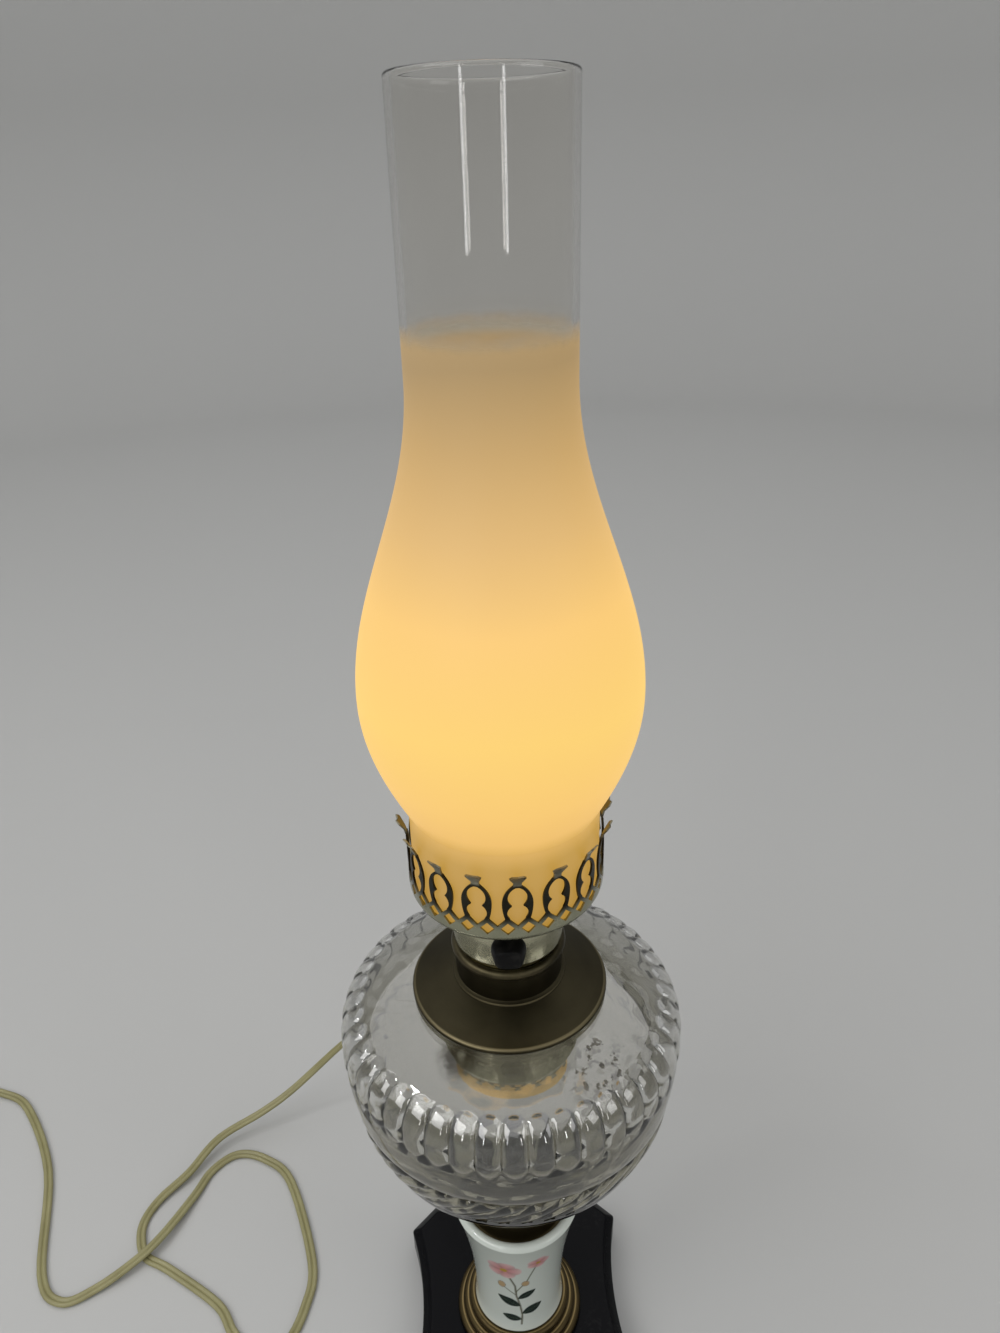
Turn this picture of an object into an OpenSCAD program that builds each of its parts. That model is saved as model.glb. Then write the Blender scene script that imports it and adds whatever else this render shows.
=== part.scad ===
/* [Base] */
// Thickness of the felt pad under the base
felt_t = 1.5; // [1:0.5:3]
// Width of the base across its clipped corners' ends
base_w = 121; // [112:1:140]
// Width of the base across the middle of its hollowed sides
base_waist_w = 107; // [95:1:110]
// Length of each hollowed side between the clipped corners
base_side_l = 93; // [76:1:96]
// Thickness of the base
base_h = 18.5; // [15:0.5:30]
// Width of the bevel round the top edge
bevel_w = 5; // [2:0.5:7]
// Height of the bevel round the top edge
bevel_h = 4; // [2:0.5:7]
// Angle by which the base is turned on the rod, against the switch
base_turn = 2.5; // [-45:0.5:45]

/* [Base ring] */
// Radius of the lowest step of the brass ring under the column
ring_r = 33.7; // [32:0.1:38]
// Height of the brass ring
ring_h = 13; // [9:0.5:18]
// Radius lost at each step of the ring
ring_step = 3.2; // [2:0.1:4]

/* [Column] */
// Height of the painted column
column_h = 83; // [70:1:110]
// Radius of the column's rim
column_rim_r = 32; // [31:0.5:38]
// Radius of the column's waist
column_waist_r = 22.9; // [21:0.1:26]
// Radius of the column's foot
column_foot_r = 23.8; // [22:0.1:26]
// Height of the waist above the column's foot
column_waist_up = 11; // [8:0.5:16]
// Wall of the column
column_wall = 4.5; // [3.5:0.1:6]
// Width of the rounded lip at the column's rim
column_lip_w = 5; // [4.5:0.1:6.5]
// Depth of the seat inside the rim
column_seat_d = 7; // [5:0.5:10]

/* [Tie rod] */
// Radius of the threaded rod that pulls the stem together
rod_r = 3.1; // [2.5:0.1:4]
// Across flats of the nut on the rod
nut_af = 11; // [10:0.5:14]
// Height of the nut
nut_h = 5.5; // [4:0.5:6]
// Radius of the washer under the base
washer_r = 9; // [8:0.5:12]

/* [Font] */
// Radius of the glass bowl at its girth
font_girth_r = 76; // [68:0.5:85]
// Radius of the bowl's foot on the connector
font_foot_r = 24.5; // [22:0.5:26]
// Height of the bowl from its foot to its girth
font_bowl_h = 109; // [95:1:125]
// Radius at which the bowl turns under
font_hip_r = 52; // [48:0.5:56]
// Depth of that turn below the girth
font_hip_d = 62; // [56:1:68]
// Height of the dome above the girth
font_dome_h = 24.1; // [20:0.1:30]
// How square the dome's shoulder is, from a plain ellipse at 2
font_shoulder = 3.2; // [2:0.1:4]
// Radius of the neck inside the collar
font_neck_r = 19; // [17:0.5:20]
// Height of the neck above the dome
font_neck_h = 13.9; // [12:0.1:16]
// Glass wall of the bowl
font_wall = 4; // [3:0.1:5]
// Depth of the grooves between the lobes on the bowl's shoulder
lobe_depth = 2.4; // [1:0.1:2.6]
// Depth of the slanting grooves in the rope band below the girth
rope_depth = 1.6; // [0.8:0.1:2]
// Height of the rope band
rope_band_h = 19; // [14:0.5:24]
// Radius of the peg set in the connector
font_peg_r = 17; // [14:0.5:18]
// Length of the peg
font_peg_l = 14; // [10:0.5:15]
// Height of the connector from the column's seat to the bowl's foot
connector_h = 19; // [18:0.5:26]

/* [Collar] */
// Radius of the collar's flange
flange_r = 42.6; // [38:0.2:50]
// Height of the rim of the flange
flange_rim_h = 3; // [2:0.1:4]
// Radius of the collar's neck
collar_neck_r = 22.8; // [22:0.1:25]
// Height of the collar from its rim to the top of its bead
collar_h = 26.2; // [24:0.2:32]
// Height of the sloping part of the flange
flange_slope_h = 6.2; // [5:0.2:9]
// Metal of the collar
collar_wall = 1.4; // [1:0.1:2]

/* [Burner] */
// Radius of the brass cup that holds the socket
cup_r = 23.6; // [22.5:0.1:26]
// Height of the cup
cup_h = 24; // [22:0.5:30]
// Height of the thread between the collar and the cup
spigot_h = 4.2; // [3:0.1:6]
// Sheet metal of the cup and the gallery
sheet_t = 0.9; // [0.6:0.1:1.2]
// Height of the switch shaft above the cup's bottom
switch_up = 14.3; // [13:0.1:15.5]

/* [Gallery] */
// Rise of the gallery's floor from the cup to the chimney's seat
gallery_rise = 5.7; // [4:0.1:8]
// Height of the row of diamonds above the seat
diamond_up = 4.5; // [4:0.1:6]
// Half the diagonal of a diamond
diamond_half = 2.8; // [2:0.1:3]
// Half the width of an arch
arch_half_w = 5.9; // [4.5:0.1:6.2]
// Half the height of an arch
arch_half_h = 9.2; // [7:0.1:10]
// Length of the fishtail on each arch
tail_l = 9; // [5:0.5:10]
// Outward lean of the fishtails
tail_lean = 22; // [10:1:35]

/* [Chimney] */
// Radius of the chimney's fitter
fitter_r = 38; // [36:0.1:40]
// Height of the straight fitter
fitter_h = 31; // [25:0.5:36]
// Radius of the bulge
bulge_r = 53.5; // [48:0.5:60]
// Height of the bulge above the fitter's end
bulge_up = 86; // [78:1:100]
// Radius of the chimney's straight neck
neck_r = 28.2; // [24:0.1:34]
// Height at which the neck becomes straight
neck_up = 199; // [180:1:220]
// Height of the chimney
chimney_h = 283; // [250:1:320]
// Glass wall of the chimney
chimney_wall = 2.2; // [1.6:0.1:3]

/* [Socket and bulb] */
// Radius of the socket's moulded body
socket_r = 16; // [15:0.1:17]
// Height of the socket's moulded body
socket_h = 25.5; // [24:0.5:27]
// Inside radius of the screw shell
shell_r = 13.3; // [13:0.1:13.6]
// Height of the screw shell
shell_h = 23; // [20:0.5:26]
// Radius of the switch shaft
shaft_r = 2; // [1.5:0.1:2.5]
// Largest radius of the turn knob
knob_r = 6.7; // [5.5:0.1:7]
// Length of the turn knob
knob_l = 11.5; // [9:0.5:15]
// Thickness of the turn knob across its flats
knob_t = 8.6; // [7:0.2:11]
// Radius of the bulb's globe
bulb_r = 30; // [22:0.5:32]
// Height of the bulb's glass above its cap
bulb_h = 84; // [70:1:90]

/* [Cord] */
// Width of the flat twin cord
cord_w = 5.6; // [5:0.1:6]
// Thickness of the flat twin cord
cord_t = 2.8; // [2.5:0.1:3]
// Length of the bushing outside the cup
bushing_l = 22; // [20:0.5:24]
// Width of the plug
plug_w = 24; // [20:0.5:28]
// Length of the plug
plug_l = 34; // [28:1:40]

/* [Hidden] */
$fn = 96;

// Clearances
seat_gap = 0.3;      // between a lifting piece and its seat
slip_gap = 0.3;      // between pieces that are dropped into each other
thread_gap = 0.1;    // between the pieces of a made-up thread
run_gap = 0.05;      // between the switch shaft and its bearing
neck_gap = 0.47;     // between the bowl's neck and the burner's spigot
eps = 0.01;

// Heights of the seats, from the table up
base_z = felt_t;
base_top = base_z + base_h;
ring_top = base_top + ring_h;
column_top = ring_top + column_h;
column_seat = column_top - column_seat_d;
foot_z = column_seat + connector_h;
girth_z = foot_z + font_bowl_h;
font_top = girth_z + font_dome_h + font_neck_h;
flange_z = dome_z(flange_r - collar_wall) + seat_gap;
collar_top = flange_z + collar_h;
cup_z = collar_top + spigot_h;
cup_top = cup_z + cup_h;
gallery_seat = cup_top + gallery_rise;
diamond_z = gallery_seat + diamond_up;
chimney_z = gallery_seat + seat_gap;
switch_z = cup_z + switch_up;

// Base
corner_d = (base_w + base_side_l) / (2 * sqrt(2));    // axis to a clipped corner
side_sag = (base_w - base_waist_w) / 2;
side_r = (pow(base_side_l / 2, 2) + side_sag * side_sag) / (2 * side_sag);
nut_well_d = nut_h + 3.5;
washer_t = 1.6;
washer_z = base_z + nut_well_d - washer_t;
nut_z = washer_z - nut_h;
rod_z = nut_z - 1;
rod_hole_r = rod_r + slip_gap;
nut_r = nut_af / sqrt(3);
well_r = washer_r + 4;

// Ring and column
ring_steps = 3;
ring_round = 1.2;
ring_spigot_r = 8;
ring_spigot_h = 3;
column_floor_t = 8;
column_seat_r = column_rim_r - column_lip_w;
column_ledge_w = 2.5;
column_steps = 16;

// Connector
plate_t = 2;
boss_r = rod_r + 6;
boss_h = 12;
connector_r = font_foot_r + 1.2;
rod_top = column_seat - 1;

// Font
dome_steps = 14;
hip_steps = 14;
under_steps = 5;
hip_a = 80;                         // where the side's ellipse gives way to the underside
under_bulge = 1.5;
font_floor_t = 7;
mouth_r = font_neck_r - 3.5;
lobes = 44;
lobe_tilt = 24;                     // slope of the shoulder where the lobes are deepest
lobe_a = atan(pow(tan(lobe_tilt) * font_dome_h / font_girth_r, font_shoulder / (2 * font_shoulder - 2)));
lobe_r = font_girth_r * pow(cos(lobe_a), 2 / font_shoulder);
lobe_z = girth_z + font_dome_h * pow(sin(lobe_a), 2 / font_shoulder);
lobe_groove_w = 0.72 * PI * lobe_r / lobes;    // half the width of a groove at the surface
hip_w = font_girth_r - font_hip_r;
rope_a = 35;                        // angle on the side's ellipse from the girth down to the band
rope_r = font_hip_r + hip_w * cos(rope_a);
rope_z = girth_z - font_hip_d * sin(rope_a);
rope_tilt = atan(tan(rope_a) * hip_w / font_hip_d);
rope_slant = 48;
rope_groove_w = 0.42 * PI * rope_r / lobes;

// Collar
bead_r = collar_neck_r + 1.8;
bead_h = 4.5;
spigot_r = collar_neck_r - collar_wall - thread_gap;
spigot_l = collar_top - font_top - neck_gap;    // stops above the bowl's neck and its plaster

// Gallery
band_in_r = fitter_r + 1.1;
band_r = band_in_r + sheet_t;
roll_r = 2.4;                       // outer radius of the turn from floor to band
cup_flange_r = cup_r + 3.4;
gallery_hole_r = socket_r + 4;
diamonds = 32;
arches = diamonds / 2;
diamond_pitch = 360 / diamonds;
lattice_rise = band_r * sin(diamond_pitch / 2);
arch_z = diamond_z + 11.9;          // widest part of the arches
arch_lattice = arch_z - diamond_z - lattice_rise;
arch_leg_h = 16;                    // half the height of the oval that the legs follow
arch_eye_half_w = arch_half_w - 2.2;
arch_top_bar = 1.5;
arch_pitch = band_r * sin(diamond_pitch);
crown_top = arch_z + arch_half_h - arch_top_bar + 0.5;
tail_neck_w = 3.2;
tail_w = 6.4;

// Chimney
chimney_steps = 14;

// Socket and switch
nipple_r = 4.9;
cover_t = 2.2;
socket_z = cup_z + 2.6;
socket_top = socket_z + cover_t + socket_h;
shell_t = 0.6;
liner_t = 0.8;
rotor_r = 5.6;
rotor_l = 8;
chamber_gap = 1.2;
knob_y = cup_r + 1.2;
terminal_z = switch_z - 4;
screw_head_r = 2.6;
screw_head_t = 1.8;
wire_r = 0.9;
wire_path_r = socket_r + screw_head_t + wire_r + 0.2;

// Bulb
cap_r = shell_r - slip_gap;
cap_h = shell_h + 2;
contact_t = 0.8;
tip_h = 2.4;
bulb_z = socket_top + contact_t + seat_gap + 0.4;
bulb_neck_r = cap_r - 0.9;
bulb_wall = 0.8;

// Cord
bushing_z = cup_z + 10.3;
bushing_r = 5.6;
bushing_neck_r = 4.6;
cord_z = 1.5;                       // middle of a cord that lies on the table
tie_t = 0.6;
coil_centre = [-400, 129];
coil_r = 36;
coil_pitch = 8;
coil_in_turns = 1.375;
coil_layer = cord_t + 0.6;
coil_z = cord_t / 2 + tie_t + 0.2;
coil_start = 90;
coil_rings = 24;
coil_turns = 2 * coil_in_turns + 0.5;
coil_tail = 31;
plug_t = 2 * (coil_z + coil_layer) - 0.2;

// Route of the cord from the bushing to the coil, chosen by eye from the picture
cord_route = [
    [0, 20, 301], [0, 46, 301], [0, 54, 300.5], [-1, 68, 295], [-4, 82, 280],
    [-10, 94, 252], [-20, 107, 214], [-33, 119, 178], [-50, 131, 142], [-74, 143, 102],
    [-115, 150, 55], [-149, 140, 26], [-170, 130, 16], [-197, 116, 9], [-212, 95, 4.5],
    [-226, 79, 2.5], [-232, 66, 1.5], [-231, 54, 1.5], [-224, 42, 1.5], [-208, 34, 1.5],
    [-174, 13, 1.5], [-161, -3, 1.5], [-146, -14, 1.5], [-131, -10, 1.5], [-123, 10, 1.5],
    [-123, 36, 1.5], [-145, 88, 1.5], [-165, 105, 1.5], [-184, 109, 1.5], [-198, 98, 1.5],
    [-205, 80, 2.5], [-216, 54, 5.5], [-227, 39, 5.5], [-247, 24, 2.5], [-266, 17, 1.5],
    [-284, 34, 1.5], [-307, 101, 1.5], [-341, 150, 1.5], [-364, 163, 2], [-378, 165, 2.2],
    [-386, 165, 2.2], [-394, 165, 2.2]
];

// Points of an arc in the half-plane of radius and height
function arc(r0, z0, r, from, to, n = 6) =
    [for (i = [0 : n]) let (a = from + (to - from) * i / n) [r0 + r * cos(a), z0 + r * sin(a)]];

// Height of the bowl's dome at a distance from the axis: a quarter of a superellipse
function dome_z(r) = girth_z + font_dome_h * pow(1 - pow(r / font_girth_r, font_shoulder), 1 / font_shoulder);

// Points of such a dome between two of its own angles, and the angle at a distance from the axis
function dome(girth_r, height, from, to) = [for (i = [0 : dome_steps]) let (a = from + (to - from) * i / dome_steps)
    [girth_r * pow(sin(a), 2 / font_shoulder), girth_z + height * pow(cos(a), 2 / font_shoulder)]];
function dome_a(r, girth_r) = asin(pow(r / girth_r, font_shoulder / 2));

// Outside radius of the column above its waist and below it: two parabolas
function column_r(z) =
    let (waist_z = ring_top + column_waist_up, lip_z = column_top - column_lip_w / 2)
    z > waist_z
        ? column_waist_r + (column_rim_r - column_waist_r) * pow((z - waist_z) / (lip_z - waist_z), 2)
        : column_waist_r + (column_foot_r - column_waist_r) * pow((waist_z - z) / column_waist_up, 2);

// Outside radius of the chimney at a height above its lower end
function chimney_r(h) =
    h < fitter_h ? fitter_r
    : h < bulge_up ? fitter_r + (bulge_r - fitter_r) * pow(sin(90 * (h - fitter_h) / (bulge_up - fitter_h)), 1.2)
    : h < neck_up ? neck_r + (bulge_r - neck_r) * (1 + cos(180 * (h - bulge_up) / (neck_up - bulge_up))) / 2
    : neck_r;

// Heights at which the chimney's wall is drawn
function chimney_heights() = concat(
    [for (i = [0 : chimney_steps]) fitter_h + (bulge_up - fitter_h) * i / chimney_steps],
    [for (i = [1 : chimney_steps]) bulge_up + (neck_up - bulge_up) * i / chimney_steps]
);

function backwards(list) = [for (i = [len(list) - 1 : -1 : 0]) list[i]];

// Round bar along Y, from one y to another
module bar_y(r, from, to) {
    translate([0, from, 0]) rotate([-90, 0, 0]) cylinder(r = r, h = to - from);
}

// Plain tube standing on z
module tube(r_out, r_in, z, h) {
    translate([0, 0, z]) difference() {
        cylinder(r = r_out, h = h);
        translate([0, 0, -1]) cylinder(r = r_in, h = h + 2);
    }
}

// Drum that hollows one side of the base and flares where it cuts the bevel
module side_cutter() {
    translate([base_waist_w / 2 + side_r, 0, 0]) rotate_extrude($fn = 360) polygon([
        [0, 0], [side_r, 0], [side_r, base_top - bevel_h],
        [side_r + 2 * bevel_w, base_top + bevel_h], [0, base_top + bevel_h]
    ]);
}

// Block that clips one corner of the base and leans over where it cuts the bevel
module corner_cutter() {
    rotate(45) translate([corner_d, base_w / 2, 0]) rotate([90, 0, 0]) linear_extrude(base_w) polygon([
        [0, 0], [base_w, 0], [base_w, base_top + bevel_h],
        [-2 * bevel_w, base_top + bevel_h], [0, base_top - bevel_h]
    ]);
}

module base_felt() {
    color("darkolivegreen") tube(base_waist_w / 2 - 2, well_r + 2, 0, felt_t);
}

module base() {
    color([0.04, 0.04, 0.05]) rotate(base_turn) difference() {
        translate([-base_w / 2, -base_w / 2, base_z]) cube([base_w, base_w, base_h]);
        for (turn = [0 : 90 : 270]) {
            rotate(turn) side_cutter();
            rotate(turn) corner_cutter();
        }
        translate([0, 0, base_z - 1]) cylinder(r = well_r, h = nut_well_d + 1);
        translate([0, 0, base_z]) cylinder(r = rod_hole_r, h = base_h + 1);
    }
}

// Spun ring of three rounded steps, with a spigot that centres the column
module base_ring() {
    step_h = ring_h / ring_steps;
    steps = [for (i = [0 : ring_steps - 1]) let (r = ring_r - i * ring_step, z = base_top + i * step_h)
        each concat([[r, z]], arc(r - ring_round, z + step_h - ring_round, ring_round, 0, 90, 4))];
    color([0.42, 0.33, 0.16]) rotate_extrude() polygon(concat(
        [[rod_hole_r, base_top]],
        steps,
        [[ring_spigot_r, ring_top], [ring_spigot_r, ring_top + ring_spigot_h], [rod_hole_r, ring_top + ring_spigot_h]]
    ));
}

module column() {
    seat_in_r = column_seat_r - column_ledge_w;
    floor_z = ring_top + column_floor_t;
    lip_z = column_top - column_lip_w / 2;
    outer = [for (i = [0 : column_steps]) let (z = ring_top + (lip_z - ring_top) * i / column_steps) [column_r(z), z]];
    inner = [for (i = [0 : column_steps]) let (z = floor_z + (column_seat - floor_z) * i / column_steps)
        [min(column_r(z) - column_wall, seat_in_r), z]];
    color([0.86, 0.9, 0.87]) rotate_extrude() polygon(concat(
        outer,
        arc(column_rim_r - column_lip_w / 2, lip_z, column_lip_w / 2, 10, 170, 8),
        [[column_seat_r, lip_z], [column_seat_r, column_seat]],
        backwards(inner),
        [[ring_spigot_r + slip_gap, floor_z], [ring_spigot_r + slip_gap, ring_top]]
    ));
}

module tie_rod() {
    color("dimgray") translate([0, 0, rod_z]) cylinder(r = rod_r, h = rod_top - rod_z);
}

module rod_washer() {
    color("silver") tube(washer_r, rod_hole_r, washer_z, washer_t);
}

module rod_nut() {
    color("silver") difference() {
        translate([0, 0, nut_z]) cylinder(r = nut_r, h = nut_h, $fn = 6);
        translate([0, 0, nut_z - 1]) cylinder(r = rod_r + thread_gap, h = nut_h + 2);
    }
}

// Brass cup that carries the bowl: plate on the column's seat, boss on the rod
module font_connector() {
    socket_floor = foot_z - font_peg_l - slip_gap;
    color([0.24, 0.19, 0.11]) difference() {
        rotate_extrude() polygon([
            [0, column_seat - boss_h],
            [boss_r, column_seat - boss_h],
            [boss_r, column_seat],
            [column_seat_r - slip_gap, column_seat],
            [column_seat_r - slip_gap, column_seat + plate_t],
            [connector_r - 2, column_seat + plate_t],
            [connector_r - 2, foot_z - 4],
            [connector_r, foot_z - 3],
            [connector_r, foot_z],
            [font_peg_r + slip_gap, foot_z],
            [font_peg_r + slip_gap, socket_floor],
            [0, socket_floor]
        ]);
        translate([0, 0, column_seat - boss_h - 1]) cylinder(r = rod_r + thread_gap, h = boss_h);
    }
}

// Side of the bowl from the turn up to the girth: a quarter of an ellipse
function bowl_side(hip_r, girth_r, depth) = [for (i = [0 : hip_steps]) let (a = hip_a * (1 - i / hip_steps))
    [hip_r + (girth_r - hip_r) * cos(a), girth_z - depth * sin(a)]];

// Underside of the bowl from the foot to the turn: a cone with a little bulge
function bowl_under(foot, turn) = [for (i = [0 : under_steps - 1]) let (s = i / under_steps)
    foot + s * (turn - foot) + [4 * under_bulge * s * (1 - s), 0]];

// Glass bowl: peg and foot, cone, elliptical side up to the girth, square-shouldered dome and straight neck
module font() {
    outer_side = bowl_side(font_hip_r, font_girth_r, font_hip_d);
    inner_side = bowl_side(font_hip_r, font_girth_r - font_wall, font_hip_d - font_wall);
    inner_foot = [font_foot_r - font_wall, foot_z + font_floor_t];
    in_girth_r = font_girth_r - font_wall;
    outer_dome = dome(font_girth_r, font_dome_h, 90, dome_a(font_neck_r, font_girth_r));
    inner_dome = dome(in_girth_r, font_dome_h - font_wall, dome_a(mouth_r, in_girth_r), 90);
    color([0.8, 0.85, 0.84, 0.5]) difference() {
        rotate_extrude() polygon(concat(
            [[0, foot_z - font_peg_l], [font_peg_r, foot_z - font_peg_l], [font_peg_r, foot_z]],
            bowl_under([font_foot_r, foot_z], outer_side[0]),
            [for (i = [0 : hip_steps - 1]) outer_side[i]],
            outer_dome,
            [[font_neck_r, font_top], [mouth_r, font_top]],
            inner_dome,
            [for (i = [1 : hip_steps]) inner_side[hip_steps - i]],
            backwards(bowl_under(inner_foot, inner_side[0])),
            [[0, foot_z + font_floor_t]]
        ));
        for (i = [0 : lobes - 1]) rotate([0, 0, (i + 0.5) * 360 / lobes]) {
            translate([lobe_r, 0, lobe_z]) rotate([0, -lobe_tilt, 0])
                groove(lobe_depth, lobe_groove_w, 2 * font_dome_h);
            translate([rope_r, 0, rope_z]) rotate([0, rope_tilt, 0]) rotate([-rope_slant, 0, 0])
                groove(rope_depth, rope_groove_w, rope_band_h / cos(rope_slant));
        }
    }
}

// Wedge that cuts a groove: its edge lies a depth inside the origin, along Z, and it opens to +X
module groove(depth, half_w, length) {
    open = 2;
    linear_extrude(height = length, center = true)
        polygon([[-depth, 0], [open, -half_w * (depth + open) / depth], [open, half_w * (depth + open) / depth]]);
}

// Spun collar: rolled rim on the dome, sloping flange, neck and top bead
module collar() {
    slope_z = flange_z + flange_rim_h + flange_slope_h;
    bead_z = collar_top - bead_h / 2;
    in_r = collar_neck_r - collar_wall;
    rim_round = flange_rim_h / 2;
    color([0.2, 0.17, 0.1]) rotate_extrude() polygon(concat(
        [[flange_r - collar_wall, flange_z], [flange_r - rim_round, flange_z]],
        arc(flange_r - rim_round, flange_z + rim_round, rim_round, -60, 90, 6),
        [[collar_neck_r + 1.2, slope_z - 1.2]],
        [[collar_neck_r + 1.2, slope_z], [collar_neck_r, slope_z + 1], [collar_neck_r, bead_z - bead_h / 2]],
        arc(bead_r - bead_h / 2, bead_z, bead_h / 2, -60, 60, 6),
        [[collar_neck_r, collar_top], [in_r, collar_top], [in_r, slope_z - collar_wall]],
        [[flange_r - collar_wall, flange_z + rim_round]]
    ));
}

// Plaster that sets the collar on the bowl's neck
module collar_cement() {
    z = girth_z + font_dome_h + 1;
    color("lightgray") tube(collar_neck_r - collar_wall, font_neck_r, z, font_top - z);
}

// Sheet cup with a threaded spigot, a hole for the switch and one for the cord
module burner_cup() {
    fillet = cup_r - spigot_r - 0.1;
    in_r = cup_r - sheet_t;
    color([0.72, 0.68, 0.5]) difference() {
        rotate_extrude() polygon(concat(
            [[nipple_r + slip_gap, cup_z], [spigot_r - 1.2, cup_z], [spigot_r - 1.2, collar_top - spigot_l]],
            [[spigot_r, collar_top - spigot_l], [spigot_r, cup_z]],
            arc(cup_r - fillet, cup_z + fillet, fillet, -90, 0),
            [[cup_r, cup_top - sheet_t], [cup_flange_r, cup_top - sheet_t], [cup_flange_r, cup_top]],
            [[in_r, cup_top]],
            backwards(arc(in_r - fillet, cup_z + sheet_t + fillet, fillet, -90, 0)),
            [[nipple_r + slip_gap, cup_z + sheet_t]]
        ));
        translate([0, 0, switch_z]) bar_y(shaft_r + 1, -cup_r - 2, -socket_r);
        translate([0, 0, bushing_z]) bar_y(bushing_neck_r + slip_gap, socket_r, cup_r + 2);
    }
}

// Pointed oval, the common part of two circles
function vesica_r(half_w, half_h) = (half_w * half_w + half_h * half_h) / (2 * half_w);

module vesica(half_w, half_h) {
    r = vesica_r(half_w, half_h);
    intersection() {
        translate([r - half_w, 0]) circle(r = r);
        translate([half_w - r, 0]) circle(r = r);
    }
}

// Cuts an outline, drawn flat about the arches' widest part, through the crown's wall
module crown_cut(turn) {
    rotate(turn) translate([band_r - 4, 0, arch_z]) rotate([90, 0, 90]) linear_extrude(8) children();
}

// Opening of an arch: pointed eye, round belly, and the V of the lattice below
module arch_opening(turn) {
    eye_y = 2.6;
    belly_y = -0.8 - arch_eye_half_w;
    crown_cut(turn) translate([0, eye_y]) vesica(arch_eye_half_w, arch_half_h - eye_y - arch_top_bar);
    crown_cut(turn) translate([0, belly_y]) circle(r = arch_eye_half_w + 0.3);
    crown_cut(turn) polygon([
        [-arch_eye_half_w, belly_y - 0.5], [arch_eye_half_w, belly_y - 0.5],
        [diamond_half, -arch_lattice], [0, -arch_lattice - diamond_half], [-diamond_half, -arch_lattice]
    ]);
}

// Space between two arches: round sides above, straighter beside the legs, V of the lattice below
module arch_gap(turn) {
    half_w = arch_pitch - 1;
    head_r = vesica_r(arch_half_w, arch_half_h);
    leg_r = vesica_r(arch_half_w, arch_leg_h);
    crown_cut(turn) difference() {
        translate([-half_w, 0]) square([2 * half_w, arch_half_h + 2]);
        for (side = [-1, 1]) translate([side * (arch_pitch + head_r - arch_half_w), 0]) circle(r = head_r);
    }
    crown_cut(turn) difference() {
        translate([-half_w, 0.3 - arch_lattice]) square([2 * half_w, arch_lattice]);
        for (side = [-1, 1]) translate([side * (arch_pitch + leg_r - arch_half_w), 0]) circle(r = leg_r);
    }
    crown_cut(turn) polygon([
        [-diamond_half, 1 - arch_lattice], [diamond_half, 1 - arch_lattice],
        [diamond_half, -arch_lattice], [0, -arch_lattice - diamond_half], [-diamond_half, -arch_lattice]
    ]);
}

// Pierced gallery: stepped floor, band with a row of diamonds, arches and fishtails
module gallery() {
    floor_r = band_r - roll_r;
    roll_z = gallery_seat - sheet_t + roll_r;
    arch_turn = 270 + diamond_pitch / 2;
    color([0.55, 0.48, 0.28]) {
        difference() {
            rotate_extrude() polygon(concat(
                [[gallery_hole_r, cup_top], [cup_flange_r, cup_top]],
                arc(floor_r, roll_z, roll_r, -90, 0),
                [[band_r, crown_top], [band_in_r, crown_top]],
                backwards(arc(floor_r, roll_z, roll_r - sheet_t, -90, 0)),
                [[cup_flange_r, cup_top + sheet_t], [gallery_hole_r, cup_top + sheet_t]]
            ));
            for (i = [0 : diamonds - 1])
                rotate(270 + i * diamond_pitch) translate([band_r, 0, diamond_z]) diamond_cut();
            for (i = [0 : arches - 1]) {
                arch_opening(arch_turn + 2 * i * diamond_pitch);
                arch_gap(arch_turn + (2 * i + 1) * diamond_pitch);
            }
        }
        for (i = [0 : arches - 1]) rotate(arch_turn + 2 * i * diamond_pitch)
            translate([band_in_r + sheet_t * 0.1, 0, crown_top - 0.6]) rotate([90, 0, 90]) rotate([tail_lean, 0, 0])
                linear_extrude(sheet_t * 0.8) fishtail_outline();
    }
}

module diamond_cut() {
    rotate([45, 0, 0]) cube([8, diamond_half * sqrt(2), diamond_half * sqrt(2)], center = true);
}

// Flared end on an arch, notched in the middle
module fishtail_outline() {
    polygon([
        [-tail_neck_w / 2, 0], [tail_neck_w / 2, 0], [tail_neck_w / 2, tail_l * 0.35], [tail_w / 2, tail_l * 0.8],
        [tail_w / 2 - 1, tail_l], [0, tail_l * 0.92], [1 - tail_w / 2, tail_l], [-tail_w / 2, tail_l * 0.8],
        [-tail_neck_w / 2, tail_l * 0.35]
    ]);
}

// Threaded pipe that holds the socket on the cup's floor
module socket_nipple() {
    color("goldenrod") tube(nipple_r, nipple_r - 1.6, cup_z - 7, socket_z + cover_t - cup_z + 7);
}

module nipple_locknut() {
    nut = nipple_r + 3;
    color("silver") difference() {
        translate([0, 0, cup_z - 3]) cylinder(r = nut, h = 3, $fn = 6);
        translate([0, 0, cup_z - 4]) cylinder(r = nipple_r + thread_gap, h = 5);
    }
}

// Fibre plate that closes the switch chamber from below
module socket_cover() {
    color("saddlebrown") tube(socket_r, nipple_r + thread_gap, socket_z, cover_t);
}

// Moulded body with the switch chamber, the shaft's bearing and two screw holes
module socket_body() {
    z = socket_z + cover_t;
    chamber = rotor_r + chamber_gap;
    color([0.12, 0.11, 0.1]) difference() {
        translate([0, 0, z]) cylinder(r = socket_r, h = socket_h);
        translate([-chamber, -rotor_l / 2 - chamber_gap, z - 1])
            cube([2 * chamber, rotor_l + 2 * chamber_gap, switch_z + chamber - z + 1]);
        translate([0, 0, switch_z]) bar_y(shaft_r + run_gap, -socket_r - 1, 0);
        translate([0, 0, terminal_z]) for (side = [90, -90])
            rotate(side) bar_y(1.5, socket_r - 4.5, socket_r + 1);
    }
}

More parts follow.
